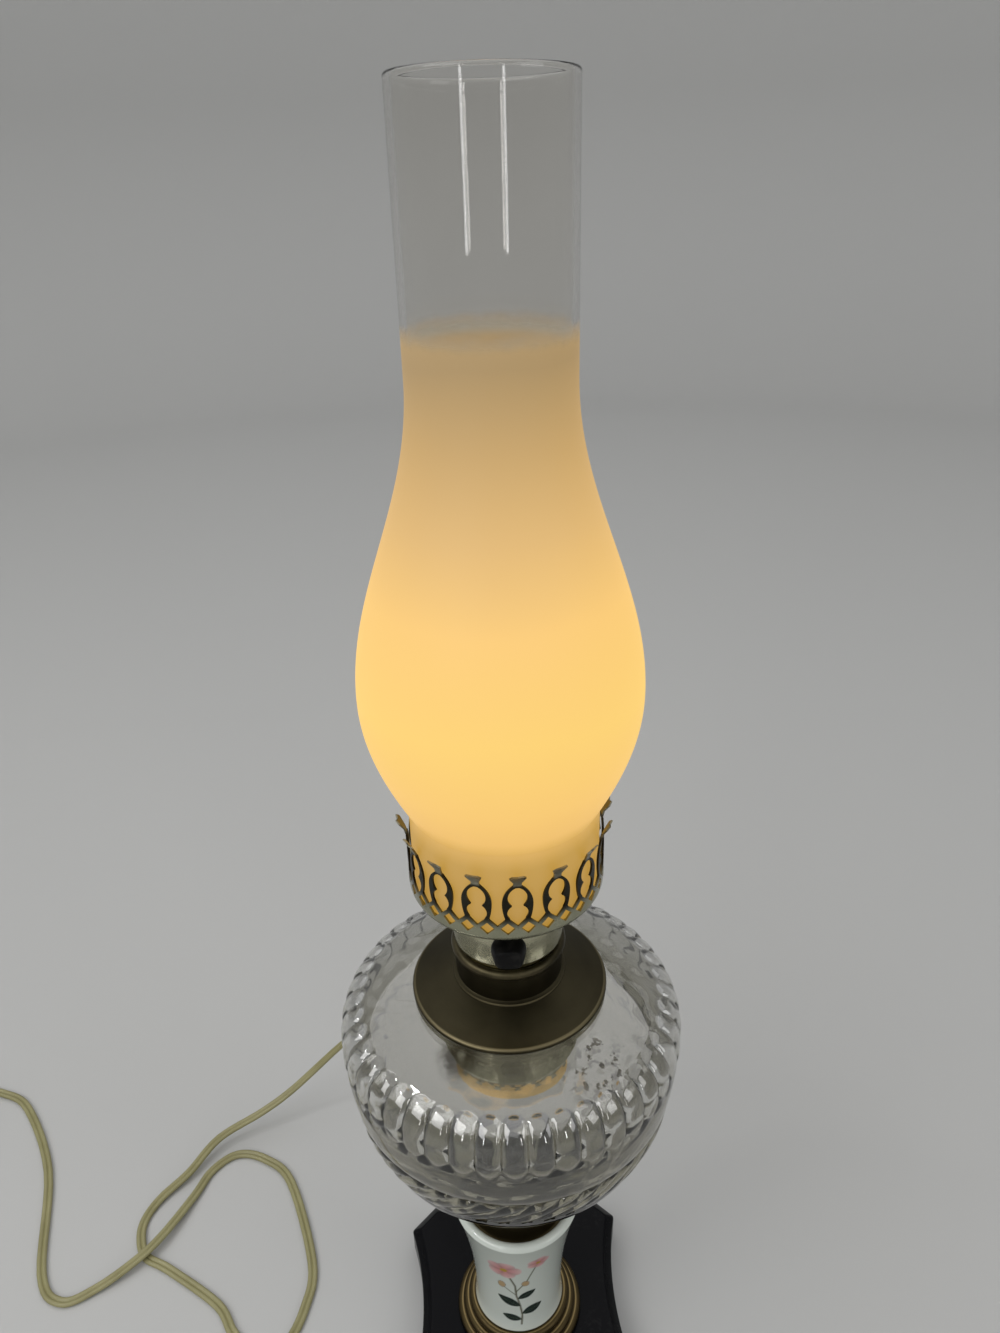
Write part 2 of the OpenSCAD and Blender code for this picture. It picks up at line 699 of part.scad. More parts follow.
// Threaded brass shell that takes the bulb's cap
module screw_shell() {
    color("burlywood") difference() {
        translate([0, 0, socket_top]) cylinder(r = shell_r + shell_t, h = shell_h);
        translate([0, 0, socket_top + shell_t]) cylinder(r = shell_r, h = shell_h);
        translate([0, 0, socket_top - 1]) cylinder(r = 6, h = shell_h);
    }
}

module socket_liner() {
    in_r = shell_r + shell_t + slip_gap;
    color("tan") tube(in_r + liner_t, in_r, socket_top, shell_h - 1);
}

// Brass tab under the bulb's tip
module centre_contact() {
    color("gold") translate([-2.5, -2.5, socket_top]) cube([5, 5, contact_t]);
}

module terminal_screws() {
    color("gold") translate([0, 0, terminal_z]) for (side = [90, -90]) rotate(side) {
        bar_y(1.4, socket_r - 4, socket_r + eps);
        bar_y(screw_head_r, socket_r, socket_r + screw_head_t);
    }
}

// Two cores of the cord, bent round the socket to the screws
module lead_wires() {
    first_a = 7;
    last_a = 84;
    color("peru") for (side = [0, 1]) mirror([side, 0, 0]) translate([0, 0, terminal_z])
        rotate(first_a) rotate_extrude(angle = last_a - first_a) translate([wire_path_r, 0]) circle(r = wire_r, $fn = 24);
}

module switch_rotor() {
    color("dimgray") translate([0, 0, switch_z]) difference() {
        bar_y(rotor_r, -rotor_l / 2, rotor_l / 2);
        bar_y(shaft_r, -rotor_l / 2 - 1, rotor_l / 2 + 1);
    }
}

module switch_shaft() {
    color("silver") translate([0, 0, switch_z]) bar_y(shaft_r, -knob_y - knob_l + 3, rotor_l / 2);
}

// Tapered knob with two flats for finger and thumb
module turn_knob() {
    end_r = knob_r - 1.2;
    color([0.03, 0.03, 0.03]) translate([0, 0, switch_z]) difference() {
        intersection() {
            translate([0, -knob_y, 0]) rotate([90, 0, 0]) rotate_extrude() polygon(concat(
                [[0, 0], [knob_r - 0.9, 0], [knob_r, 2]],
                arc(end_r - 1.5, knob_l - 1.5, 1.5, 0, 90, 4),
                [[0, knob_l]]
            ));
            translate([-knob_r, -knob_y - knob_l, -knob_t / 2]) cube([2 * knob_r, knob_l, knob_t]);
        }
        bar_y(shaft_r, -knob_y - knob_l + 3, 0);
    }
}

// Bulb cap with the ridges of its thread drawn as rings
module bulb_cap() {
    ridges = 5;
    pitch = 3.6;
    low = bulb_z + 3;
    color("silver") rotate_extrude() polygon(concat(
        [[4, bulb_z], [cap_r - 4, bulb_z], [cap_r - 0.9, low]],
        [for (i = [0 : ridges - 1]) each [[cap_r, low + (i + 0.5) * pitch], [cap_r - 0.9, low + (i + 1) * pitch]]],
        [[cap_r - 0.9, bulb_z + cap_h], [bulb_neck_r - bulb_wall, bulb_z + cap_h]],
        [[bulb_neck_r - bulb_wall, bulb_z + cap_h - 4], [4, bulb_z + 2]]
    ));
}

// Pear-shaped glass: straight neck blending into a round globe
module bulb_envelope() {
    z = bulb_z + cap_h;
    globe_z = z + bulb_h - bulb_r;
    outer = concat(
        [for (t = [0 : 0.125 : 0.875]) [bulb_neck_r + (bulb_r - bulb_neck_r) * (1 - cos(180 * t)) / 2,
            z + (globe_z - z) * t]],
        arc(0, globe_z, bulb_r, 0, 90, 12)
    );
    color([1, 0.93, 0.75]) rotate_extrude() polygon(concat(
        outer,
        backwards([for (p = outer) [max(p[0] - bulb_wall, 0), p[1] - (p[0] < bulb_wall ? bulb_wall : 0)]])
    ));
}

module bulb_contact() {
    color("black") translate([0, 0, socket_top + contact_t + seat_gap]) cylinder(r = 3.8, h = tip_h);
}

// One piece of glass: fitter, bulge, waist and straight neck, both ends fire-polished
module chimney() {
    half = chimney_wall / 2;
    heights = chimney_heights();
    outer = [for (h = heights) [chimney_r(h), chimney_z + h]];
    inner = [for (h = heights) [chimney_r(h) - chimney_wall, chimney_z + h]];
    color([1, 0.85, 0.55]) rotate_extrude() polygon(concat(
        arc(fitter_r - half, chimney_z + half, half, -180, 0, 8),
        outer,
        arc(neck_r - half, chimney_z + chimney_h - half, half, 0, 180, 8),
        backwards(inner)
    ));
}

// Tapered sleeve that guards the cord where it leaves the cup
module cord_bushing() {
    flange_t = 1.6;
    from = cup_r - sheet_t - 1;
    out = cup_r + 0.2;
    color([0.16, 0.13, 0.1]) translate([0, 0, bushing_z]) difference() {
        rotate([-90, 0, 0]) rotate_extrude() polygon([
            [0, from], [bushing_neck_r, from], [bushing_neck_r, out], [bushing_r + 1.4, out],
            [bushing_r + 1.4, out + flange_t], [bushing_r, out + flange_t], [bushing_neck_r - 0.4, out + bushing_l], [0, out + bushing_l]
        ]);
        translate([0, out + bushing_l + 1, 0]) rotate([90, 0, 0]) linear_extrude(bushing_l + 6)
            polygon(cord_section(8, slip_gap));
    }
}

// Flat outline of the twin cord, with 8 or 6 corners
function cord_section(sides, grow = 0) =
    let (a = cord_w / 2 + grow, b = cord_t / 2 + grow)
    sides == 8
        ? [[a, b * 0.45], [a - b * 0.6, b], [b * 0.6 - a, b], [-a, b * 0.45],
           [-a, -b * 0.45], [b * 0.6 - a, -b], [a - b * 0.6, -b], [a, -b * 0.45]]
        : [[a, 0], [a - b, b], [b - a, b], [-a, 0], [b - a, -b], [a - b, -b]];

// Point on the smooth curve through a list of points, part t of the way from point i to the next
function on_curve(p, i, t) =
    let (last = len(p) - 1, a = p[max(i - 1, 0)], b = p[i], c = p[min(i + 1, last)], d = p[min(i + 2, last)])
    b + ((c - a) * t + (2 * a - 5 * b + 4 * c - d) * t * t + (3 * b - a - 3 * c + d) * t * t * t) / 2;

function unit(v) = v / norm(v);

// Closed tube of a flat section along points, its width kept level
module flat_tube(path, section) {
    n = len(section);
    last = len(path) - 1;
    rings = [for (i = [0 : last]) let (
            along = unit(path[min(i + 1, last)] - path[max(i - 1, 0)]),
            side = unit(cross(along, [0, 0, 1])),
            up = cross(side, along))
        each [for (s = section) path[i] + side * s[0] + up * s[1]]];
    faces = concat(
        [for (i = [0 : last - 1], k = [0 : n - 1]) each [
            [i * n + k, i * n + (k + 1) % n, (i + 1) * n + k],
            [(i + 1) * n + k, i * n + (k + 1) % n, (i + 1) * n + (k + 1) % n]]],
        [for (k = [1 : n - 2]) [0, k + 1, k]],
        [for (k = [1 : n - 2]) [last * n, last * n + k, last * n + k + 1]]
    );
    polyhedron(rings, faces);
}

// Free stretch of the cord
module cord() {
    path = [for (i = [0 : len(cord_route) - 2]) each [on_curve(cord_route, i, 0), on_curve(cord_route, i, 0.5)]];
    color([0.45, 0.42, 0.25]) flat_tube(concat(path, [cord_route[len(cord_route) - 1]]), cord_section(8));
}

// Middle of the coiled cord after a number of turns: in along the lower layer, up, and out again
function coil_point(turns) =
    let (past = turns - coil_in_turns,
        inward = min(turns, coil_in_turns) + max(0, min(past, 0.25)) - max(0, min(past - 0.25, turns)),
        climb = max(0, min(1, (past - 0.1) / 0.3)),
        r = coil_r - coil_pitch * inward,
        a = coil_start + 360 * turns)
    [coil_centre[0] + r * cos(a), coil_centre[1] + r * sin(a), coil_z + coil_layer * climb * climb * (3 - 2 * climb)];

coil_count = round(coil_rings * coil_turns);
coil_path = concat(
    [coil_point(0) + [cord_w + 0.4, 0, 0]],
    [for (i = [0 : coil_count]) coil_point(coil_turns * i / coil_count)],
    [coil_point(coil_turns) - [0, coil_tail, 0]]
);

// Least gap between one turn of the coil and another, measured between the middles of its rings
coil_gap = min([for (i = [0 : coil_count], j = [0 : coil_count]) if (j - i > coil_rings * 0.6)
    let (d = coil_path[j + 1] - coil_path[i + 1]) max(norm([d[0], d[1]]) - cord_w, abs(d[2]) - cord_t)]);
echo(coil_gap = coil_gap);

module cord_coil() {
    color([0.45, 0.42, 0.25]) flat_tube(coil_path, cord_section(6));
}

// Strap round all turns of the coil, where its layers lie level
module cord_tie() {
    tie_turn = 135;
    tie_w = 4;
    tie_gap = 0.4;
    part_turn = (tie_turn - coil_start) / 360;
    in_r = coil_r - coil_pitch * (1 + part_turn) - cord_w / 2 - tie_gap;
    span = coil_pitch + cord_w + 2 * tie_gap;
    rise = coil_layer + cord_t + tie_gap;
    color("black") translate([coil_centre[0], coil_centre[1], 0]) rotate(tie_turn)
        translate([in_r, tie_w / 2, 0]) rotate([90, 0, 0]) linear_extrude(tie_w) difference() {
            translate([-tie_t, 0]) square([span + 2 * tie_t, rise + 2 * tie_t]);
            translate([0, tie_t]) square([span, rise]);
        }
}

// Places a flat piece at the end of the coil, its length along +Y
module at_coil_end() {
    tip = coil_path[len(coil_path) - 1];
    translate(tip) rotate(180) children();
}

module plug_body() {
    grip = plug_l * 0.35;
    color([0.3, 0.2, 0.12]) at_coil_end() translate([0, 0, -plug_t / 2]) linear_extrude(plug_t) polygon([
        [-cord_w / 2 - 1.5, 0], [cord_w / 2 + 1.5, 0], [cord_w / 2 + 2.5, grip * 0.8], [plug_w / 2, grip + 4],
        [plug_w / 2, plug_l], [-plug_w / 2, plug_l], [-plug_w / 2, grip + 4], [-cord_w / 2 - 2.5, grip * 0.8]
    ]);
}

module plug_blades() {
    blade_t = 1.5;
    blade_w = 6.35;
    blade_l = 16;
    blade_pitch = 12.7;
    color("silver") at_coil_end() for (side = [-1, 1])
        translate([side * blade_pitch / 2 - blade_t / 2, plug_l, -blade_w / 2]) cube([blade_t, blade_l, blade_w]);
}

base_felt();
base();
base_ring();
column();
tie_rod();
rod_washer();
rod_nut();
font_connector();
font();
collar();
collar_cement();
burner_cup();
gallery();
socket_nipple();
nipple_locknut();
socket_cover();
socket_body();
screw_shell();
socket_liner();
centre_contact();
terminal_screws();
lead_wires();
switch_rotor();
switch_shaft();
turn_knob();
bulb_cap();
bulb_envelope();
bulb_contact();
chimney();
cord_bushing();
cord();
cord_coil();
cord_tie();
plug_body();
plug_blades();
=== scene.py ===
import bmesh
import bpy
import numpy as np
from mathutils import Matrix


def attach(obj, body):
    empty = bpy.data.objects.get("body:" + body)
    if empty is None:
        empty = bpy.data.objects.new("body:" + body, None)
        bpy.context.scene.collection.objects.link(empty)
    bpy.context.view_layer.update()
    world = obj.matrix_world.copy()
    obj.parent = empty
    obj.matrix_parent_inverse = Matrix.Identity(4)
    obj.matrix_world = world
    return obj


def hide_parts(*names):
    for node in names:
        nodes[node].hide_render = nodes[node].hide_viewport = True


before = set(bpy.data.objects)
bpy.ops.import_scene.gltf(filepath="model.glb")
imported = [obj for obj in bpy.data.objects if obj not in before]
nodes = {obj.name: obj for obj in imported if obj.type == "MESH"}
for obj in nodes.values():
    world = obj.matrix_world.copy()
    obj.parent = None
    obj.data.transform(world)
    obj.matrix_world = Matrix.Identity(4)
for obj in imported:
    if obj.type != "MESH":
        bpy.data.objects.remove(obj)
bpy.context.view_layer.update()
scene = bpy.context.scene
scene.view_settings.view_transform = "Standard"


# Camera: held a little above the burner and close to the lamp, looking down at it with a
# slight tilt of the hand, as wide as a telephone's main lens.
pitch, roll, eye = np.radians(27.04), np.radians(1.75), (0.0, -0.3178, 0.5775)
focal_px, photo_rows, sensor_mm = 965.5, 1333, 36.0
ahead = np.array([0.0, np.cos(pitch), -np.sin(pitch)])
level_up = np.array([0.0, np.sin(pitch), np.cos(pitch)])
sideways = np.array([1.0, 0.0, 0.0])
view_right = sideways * np.cos(roll) - level_up * np.sin(roll)
view_up = level_up * np.cos(roll) + sideways * np.sin(roll)


def placed(right, up, back, spot):
    """Matrix of an object whose own axes point right, up and back, and which stands at a spot."""
    matrix = np.eye(4)
    matrix[:3] = np.column_stack([right, up, back, spot])
    return Matrix(matrix.tolist())


lens = bpy.data.cameras.new("photo_view")
lens.sensor_fit = "VERTICAL"
lens.sensor_height = sensor_mm
lens.lens = focal_px / photo_rows * sensor_mm
lens.clip_start = 0.01
camera = bpy.data.objects.new("photo_view", lens)
camera.matrix_world = placed(view_right, view_up, -ahead, eye)
scene.collection.objects.link(camera)
scene.camera = camera


# Cord: flat twin lead of two stranded cores in olive gold vinyl, limp. It leaves the burner's
# back, hangs behind the bowl, crosses itself on the table and goes on to a tied coil.
cord_w, cord_t, web_half = 0.0056, 0.0028, 0.0006
coil_x, coil_y, coil_z, coil_r, plug_lead = -0.400, 0.129, 0.0022, 0.036, 0.031
cord_route = np.array([
    [0, 20, 301], [0, 46, 301], [0, 54, 300.5], [-1, 68, 295], [-4, 82, 280],
    [-10, 94, 252], [-20, 107, 214], [-33, 119, 178], [-50, 131, 142], [-74, 143, 102],
    [-115, 150, 55], [-149, 140, 26], [-170, 130, 16], [-197, 116, 9], [-212, 95, 4.5],
    [-226, 79, 2.5], [-232, 66, 1.5], [-231, 54, 1.5], [-224, 42, 1.5], [-208, 34, 1.5],
    [-174, 13, 1.5], [-161, -3, 1.5], [-146, -14, 1.5], [-131, -10, 1.5], [-123, 10, 1.5],
    [-123, 36, 1.5], [-145, 88, 1.5], [-165, 105, 1.5], [-184, 109, 1.5], [-198, 98, 1.5],
    [-205, 80, 2.5], [-216, 54, 5.5], [-227, 39, 5.5], [-247, 24, 2.5], [-266, 17, 1.5],
    [-284, 34, 1.5], [-307, 101, 1.5], [-341, 150, 1.5], [-364, 163, 2], [-378, 165, 2.2],
    [-386, 165, 2.2], [-394, 165, 2.2],
]) / 1000


def smooth_route(points, per_span):
    """Curve through the points: on each span the cubic whose slope at a point is half the step
    between that point's neighbours (the end points count twice)."""
    padded = np.vstack([points[:1], points, points[-1:]])
    a, b, c, d = padded[:-3, None], padded[1:-2, None], padded[2:-1, None], padded[3:, None]
    t = (np.arange(per_span) / per_span)[None, :, None]
    curve = b + ((c - a) * t + (2 * a - 5 * b + 4 * c - d) * t**2 + (3 * b - a - 3 * c + d) * t**3) / 2
    return np.vstack([curve.reshape(-1, 3), points[-1:]])


def coil_route(per_turn):
    """Flat coil: radius falls by one pitch a turn along the lower layer, then the cord climbs a
    layer within half a turn while the radius turns round, and grows again along the upper layer."""
    turns_in, pitch_r, layer_gap = 1.375, 0.008, 0.0006
    all_turns = 2 * turns_in + 0.5
    turns = np.linspace(0, all_turns, int(per_turn * all_turns) + 1)
    past = turns - turns_in
    inward = np.minimum(turns, turns_in) + np.clip(past, 0, 0.25) - np.maximum(0, past - 0.25)
    climb = np.clip((past - 0.1) / 0.3, 0, 1)
    r, a = coil_r - pitch_r * inward, np.radians(90) + 2 * np.pi * turns
    z = coil_z + (cord_t + layer_gap) * climb**2 * (3 - 2 * climb)
    return np.stack([coil_x + r * np.cos(a), coil_y + r * np.sin(a), z], -1)


def twin_section(count):
    """Section of the lead: two round cores side by side and a thin web between them. Half its
    height is a circle's over each core, and no less than half the web between the cores' middles."""
    t = np.linspace(0, 2 * np.pi, count, endpoint=False)
    across, core_r = cord_w / 2 * np.cos(t), cord_t / 2
    bulge = np.sqrt(np.maximum(0, core_r**2 - (np.abs(across) - core_r) ** 2))
    half = np.where(np.abs(across) < core_r, np.maximum(bulge, web_half), bulge)
    return np.stack([across, np.sign(np.sin(t)) * half], -1)


def grid_faces(rows, columns, wrap_rows=False, wrap_columns=False):
    """Corner numbers of the four-sided faces between neighbouring rows and columns of a grid."""
    r = np.arange(rows if wrap_rows else rows - 1)[:, None]
    c = np.arange(columns if wrap_columns else columns - 1)[None, :]
    r2, c2 = (r + 1) % rows, (c + 1) % columns
    corners = r * columns + c, r * columns + c2, r2 * columns + c2, r2 * columns + c
    return np.stack(np.broadcast_arrays(*corners), -1).reshape(-1, 4)


def lay_mesh(name, points, *faces, sharp_deg=40):
    """Object at the origin from an array of points and arrays of corner numbers: seams and poles
    are merged, faces turned outwards, and edges sharper than the angle kept crisp."""
    mesh = bpy.data.meshes.new(name)
    mesh.from_pydata(points.reshape(-1, 3).tolist(), [], [face for group in faces for face in group.tolist()])
    shape = bmesh.new()
    shape.from_mesh(mesh)
    bmesh.ops.remove_doubles(shape, verts=shape.verts, dist=1e-6)
    bmesh.ops.recalc_face_normals(shape, faces=shape.faces)
    shape.to_mesh(mesh)
    shape.free()
    mesh.shade_smooth()
    mesh.set_sharp_from_angle(angle=np.radians(sharp_deg))
    piece = bpy.data.objects.new(name, mesh)
    scene.collection.objects.link(piece)
    return piece


def flat_lead(name, path, section):
    """The section carried along the path with its width kept level, closed by flat ends."""
    along = np.gradient(path, axis=0)
    along /= np.linalg.norm(along, axis=1, keepdims=True)
    side = np.cross(along, [0, 0, 1])
    side /= np.linalg.norm(side, axis=1, keepdims=True)
    above = np.cross(side, along)
    rings = path[:, None] + side[:, None] * section[None, :, :1] + above[:, None] * section[None, :, 1:]
    ends = path[[0, -1], None].repeat(len(section), 1)
    rings = np.concatenate([ends[:1], rings, ends[1:]])
    return lay_mesh(name, rings, grid_faces(len(rings), len(section), wrap_columns=True))


class Wire:
    """One socket of a material's node tree. Sums on wires add the Math nodes that they need."""

    def __init__(self, socket):
        self.socket = socket

    def node(self, kind, settings=None, inputs=None, output=0):
        """Adds a node of a kind: its settings first, then values or wires for its sockets."""
        made = self.socket.id_data.nodes.new("ShaderNode" + kind)
        for key, value in (settings or {}).items():
            if key == "stops":
                while len(made.color_ramp.elements) < len(value):
                    made.color_ramp.elements.new(0.5)
                for element, (stop, colour) in zip(made.color_ramp.elements, value):
                    element.position, element.color = stop, (*colour, 1.0)
            else:
                setattr(made, key, value)
        for key, value in (inputs or {}).items():
            if isinstance(value, Wire):
                value.feed(made, key)
            else:
                made.inputs[key].default_value = value
        return Wire(made.outputs[output])

    def feed(self, node, socket):
        """Links this wire to a node's socket."""
        self.socket.id_data.links.new(self.socket, node.inputs[socket])

    def math(self, operation, *values):
        """This wire and the values through one Math node."""
        return self.node("Math", {"operation": operation}, dict(enumerate((self, *values))))

    def __add__(self, other):
        return self.math("ADD", other)

    def __mul__(self, other):
        return self.math("MULTIPLY", other)

    def __sub__(self, other):
        return self.math("SUBTRACT", other)

    def __rsub__(self, other):
        return (self * -1.0) + other

    __radd__ = __add__
    __rmul__ = __mul__

    def smooth(self, low, high):
        """0 below low, 1 above high, and a smooth step between."""
        return self.node("MapRange", {"interpolation_type": "SMOOTHSTEP"},
                         {"Value": self, "From Min": low, "From Max": high})

    def blend(self, first, second):
        """Colour that goes from the first to the second as this wire goes from 0 to 1."""
        return self.node("Mix", {"data_type": "RGBA"}, {0: self, 6: first, 7: second}, 2)


def new_finish(name, **sockets):
    """Material with one Principled shader, its even values set on the shader's own sockets.
    Gives the material, the shader and the wire of the object's own coordinates."""
    material = bpy.data.materials.new(name)
    material.use_nodes = True
    shader = next(n for n in material.node_tree.nodes if n.type == "BSDF_PRINCIPLED")
    for socket, value in sockets.items():
        shader.inputs[socket.replace("_", " ")].default_value = value
    return material, shader, Wire(shader.outputs[0]).node("TexCoord", output="Object")


coil = coil_route(48)
cord_path = np.vstack([smooth_route(cord_route, 6), coil, coil[-1:] - [[0, plug_lead, 0]]])
cord = flat_lead("cord_lead", cord_path, twin_section(32))
vinyl, shader, place = new_finish("cord_vinyl", Roughness=0.38)
patches = place.node("TexNoise", inputs={"Vector": place, "Scale": 60.0, "Detail": 4.0})
patches.blend((0.22, 0.20, 0.085, 1), (0.36, 0.335, 0.17, 1)).feed(shader, "Base Color")
grain = place.node("TexNoise", inputs={"Vector": place, "Scale": 900.0})
place.node("Bump", inputs={"Strength": 0.15, "Distance": 0.0002, "Height": grain}).feed(shader, "Normal")
cord.data.materials.append(vinyl)
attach(cord, "lamp")
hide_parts("cord", "cord_coil")


# Felt: a thin ring of green felt, cut from sheet and glued under the base so that the lamp
# stands soft and level.
def dress(finish, *parts):
    """Gives solids that keep their own shape a finish in place of the plain one."""
    for part in parts:
        nodes[part].data.materials.clear()
        nodes[part].data.materials.append(finish)


felt, shader, place = new_finish("base_felt_green", Roughness=0.95)
fluff = place.node("TexNoise", inputs={"Vector": place, "Scale": 700.0, "Detail": 3.0})
fluff.blend((0.06, 0.09, 0.04, 1), (0.14, 0.18, 0.09, 1)).feed(shader, "Base Color")
place.node("Bump", inputs={"Strength": 0.6, "Distance": 0.0004, "Height": fluff}).feed(shader, "Normal")
dress(felt, "base_felt")


# Base: a cast block in black gloss enamel, its sides hollowed, its corners clipped and its top
# edge bevelled. The rod's nut draws it up against the brass ring.
base_half, base_waist, base_side, base_bottom = 0.0605, 0.0535, 0.0465, 0.0015
base_turn, well_share = np.radians(2.5), 0.35


def base_outline(inset):
    """Outline of the block at a distance inside its edge, one quarter at a time: the shallow arc
    of a hollowed side, whose radius grows by the inset, and the straight clipped corner, which
    moves in by it. A running mean rounds the eight points, and the block sits a little turned."""
    sag = base_half - base_waist
    radius = (base_side**2 + sag**2) / (2 * sag)
    centre, reach = base_waist + radius, radius + inset
    corner_line = base_half + base_side - inset * np.sqrt(2)
    last = np.radians(45) + np.arcsin((corner_line - centre) / (np.sqrt(2) * reach))
    a = np.linspace(-last, last, 140)
    side = np.stack([centre - reach * np.cos(a), reach * np.sin(a)], -1)
    corner = np.linspace(side[-1], side[-1, ::-1], 40)[1:-1]
    quarter = np.vstack([side, corner])
    turns = base_turn + np.radians(90) * np.arange(4)[:, None, None]
    x, y = quarter[None, :, :1], quarter[None, :, 1:]
    ring = np.concatenate([x * np.cos(turns) - y * np.sin(turns), x * np.sin(turns) + y * np.cos(turns)], -1)
    ring = ring.reshape(-1, 2)
    return sum(np.roll(ring, k, 0) for k in (-2, -1, 0, 1, 2)) / 5


base_steps = np.array([[1.2, 0], [0.4, 0.15], [0, 0.6], [0, 13.9], [0.12, 14.4], [0.5, 14.9], [4.2, 17.9],
                       [4.8, 18.3], [5.5, 18.47], [7, 18.5], [12, 18.5]]) / 1000
outlines = np.array([base_outline(inset) for inset in base_steps[:, 0]])
levels = np.broadcast_to(base_bottom + base_steps[:, 1, None, None], (*outlines.shape[:2], 1))
rows = np.concatenate([outlines, levels], -1)
well_edge, middle = rows[:1] * [well_share, well_share, 1], rows[-1:] * [0, 0, 1]
rows = np.concatenate([well_edge, rows, middle])
base = lay_mesh("base_block", rows, grid_faces(*rows.shape[:2], wrap_columns=True), sharp_deg=60)
enamel, shader, place = new_finish("base_enamel", Specular_IOR_Level=0.09)
dust = place.node("TexNoise", inputs={"Vector": place, "Scale": 22.0, "Detail": 6.0, "Roughness": 0.65})
specks = place.node("TexNoise", inputs={"Vector": place, "Scale": 420.0, "Detail": 2.0})
wear = dust.smooth(0.45, 0.75) * specks.smooth(0.5, 0.7)
wear.blend((0.004, 0.004, 0.005, 1), (0.014, 0.014, 0.014, 1)).feed(shader, "Base Color")
(dust * 0.18 + 0.12).feed(shader, "Roughness")
place.node("Bump", inputs={"Strength": 0.12, "Distance": 0.0006, "Height": dust}).feed(shader, "Normal")
base.data.materials.append(enamel)
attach(base, "lamp")
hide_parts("base")


# Base ring: three rounded ridges spun from brass, gone brown in the grooves and rubbed bright
# on the crests. It stands on the block and centres the column.
ring_r, ring_z, ring_bore = 33.7, 20.0, 4.0
ridges, ridge_r, ridge_step, ridge_h, ridge_mid = 3, 2.1, 3.2, 4.333, 2.166


def arc(r0, z0, radius, first, last, count):
    """Points of an arc in the plane of radius and height, angles in degrees."""
    a = np.radians(np.linspace(first, last, count))
    return np.stack([r0 + radius * np.cos(a), z0 + radius * np.sin(a)], -1)


def spun(name, profile, columns=192, closed=False, sharp_deg=40):
    """A profile of radius and height, in millimetres, turned about the lamp's axis."""
    turn = np.linspace(0, 2 * np.pi, columns, endpoint=False)
    r, z = np.asarray(profile)[:, :1] / 1000, np.asarray(profile)[:, 1:] / 1000
    points = np.stack([r * np.cos(turn), r * np.sin(turn), z + 0 * turn], -1)
    return lay_mesh(name, points, grid_faces(len(points), columns, closed, True), sharp_deg=sharp_deg)


def from_axis(place):
    """Wire of the distance from the lamp's axis."""
    flat = place.node("VectorMath", {"operation": "MULTIPLY"}, {0: place, 1: (1.0, 1.0, 0.0)})
    return flat.node("VectorMath", {"operation": "LENGTH"}, {0: flat}, "Value")


def height_of(place):
    """Wire of the height above the table."""
    return place.node("SeparateXYZ", inputs={0: place}, output=2)


stairs = [arc(ring_r - ridge_step * k - ridge_r, ring_z + ridge_h * k + ridge_mid, ridge_r, -80, 80, 12)
          for k in range(ridges)]
ring_top = np.array([[24, 32.9], [8, 33], [8, 36], [ring_bore, 36]])
ring = spun("base_ring_brass", np.vstack([[[ring_bore, ring_z], [31, ring_z]], *stairs, ring_top]),
            closed=True, sharp_deg=50)
aged, shader, place = new_finish("ring_aged_brass", Metallic=1.0)
past_top_ridge = from_axis(place) * 1000.0 - (ring_r - 2 * ridge_step) + 0.9
crest = (past_top_ridge * (1 / ridge_step)).math("FRACT").math("PINGPONG", 0.5).smooth(0.30, 0.5)
stain = place.node("TexNoise", inputs={"Vector": place, "Scale": 90.0, "Detail": 5.0})
rubbing = crest * (stain * 0.8 + 0.3)
rubbing.blend((0.075, 0.055, 0.025, 1), (0.42, 0.31, 0.14, 1)).feed(shader, "Base Color")
(stain * 0.35 + 0.22).feed(shader, "Roughness")
ring.data.materials.append(aged)
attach(ring, "lamp")
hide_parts("base_ring")


# Column: slip-cast porcelain with a pale green-white glaze and a spray of flowers painted by
# hand on the front, a smaller sprig on the back. A rod through it pulls it onto the ring.
foot_z, foot_r, waist_h, waist_r = 33.0, 23.8, 11.0, 22.9
rim_z, rim_r, lip = 116.0, 32.0, 5.0
waist_z, wall_top = foot_z + waist_h, rim_z - lip / 2
z = np.linspace(foot_z, wall_top, 150)
above = waist_r + (rim_r - waist_r) * ((z - waist_z) / (wall_top - waist_z)) ** 2
below = waist_r + (foot_r - waist_r) * ((waist_z - z) / waist_h) ** 2
wall = np.stack([np.where(z > waist_z, above, below), z], -1)
foot = np.array([[9, 33.1], [22.6, 33.0], [23.3, 33.15], [23.7, 33.5]])
rim = arc(rim_r - lip / 2, wall_top, lip / 2, 0, 180, 14)
seat = np.array([[27, 112], [27, 109], [24.5, 109], [23.5, 100]])
column = spun("column_porcelain", np.vstack([foot, wall[2:], rim[1:], seat]), columns=360, sharp_deg=60)


def leaf(u, v, start, end, width):
    """1 inside a pointed leaf from start to end, half as wide as a sine along its length, and the
    distance from its middle line as a share of the width."""
    run = np.subtract(end, start)
    length = np.hypot(*run)
    along = ((u - start[0]) * run[0] + (v - start[1]) * run[1]) / length**2
    across = ((v - start[1]) * run[0] - (u - start[0]) * run[1]) / length
    half = width * np.sin(np.pi * np.clip(along, 0, 1)) ** 0.8
    mask = np.clip((half - np.abs(across)) / 0.5 + 0.5, 0, 1) * (np.abs(along - 0.5) < 0.5)
    return mask, np.abs(across) / width


def stroke(u, v, points, width):
    """1 near a bent line of points: distance to each piece of it, the least taken."""
    best = np.full(u.shape, 1e3)
    for a, b in zip(points[:-1], points[1:]):
        run = np.subtract(b, a)
        along = np.clip(((u - a[0]) * run[0] + (v - a[1]) * run[1]) / (run @ run), 0, 1)
        best = np.minimum(best, np.hypot(u - a[0] - along * run[0], v - a[1] - along * run[1]))
    return np.clip((width - best) / 0.35 + 0.5, 0, 1)


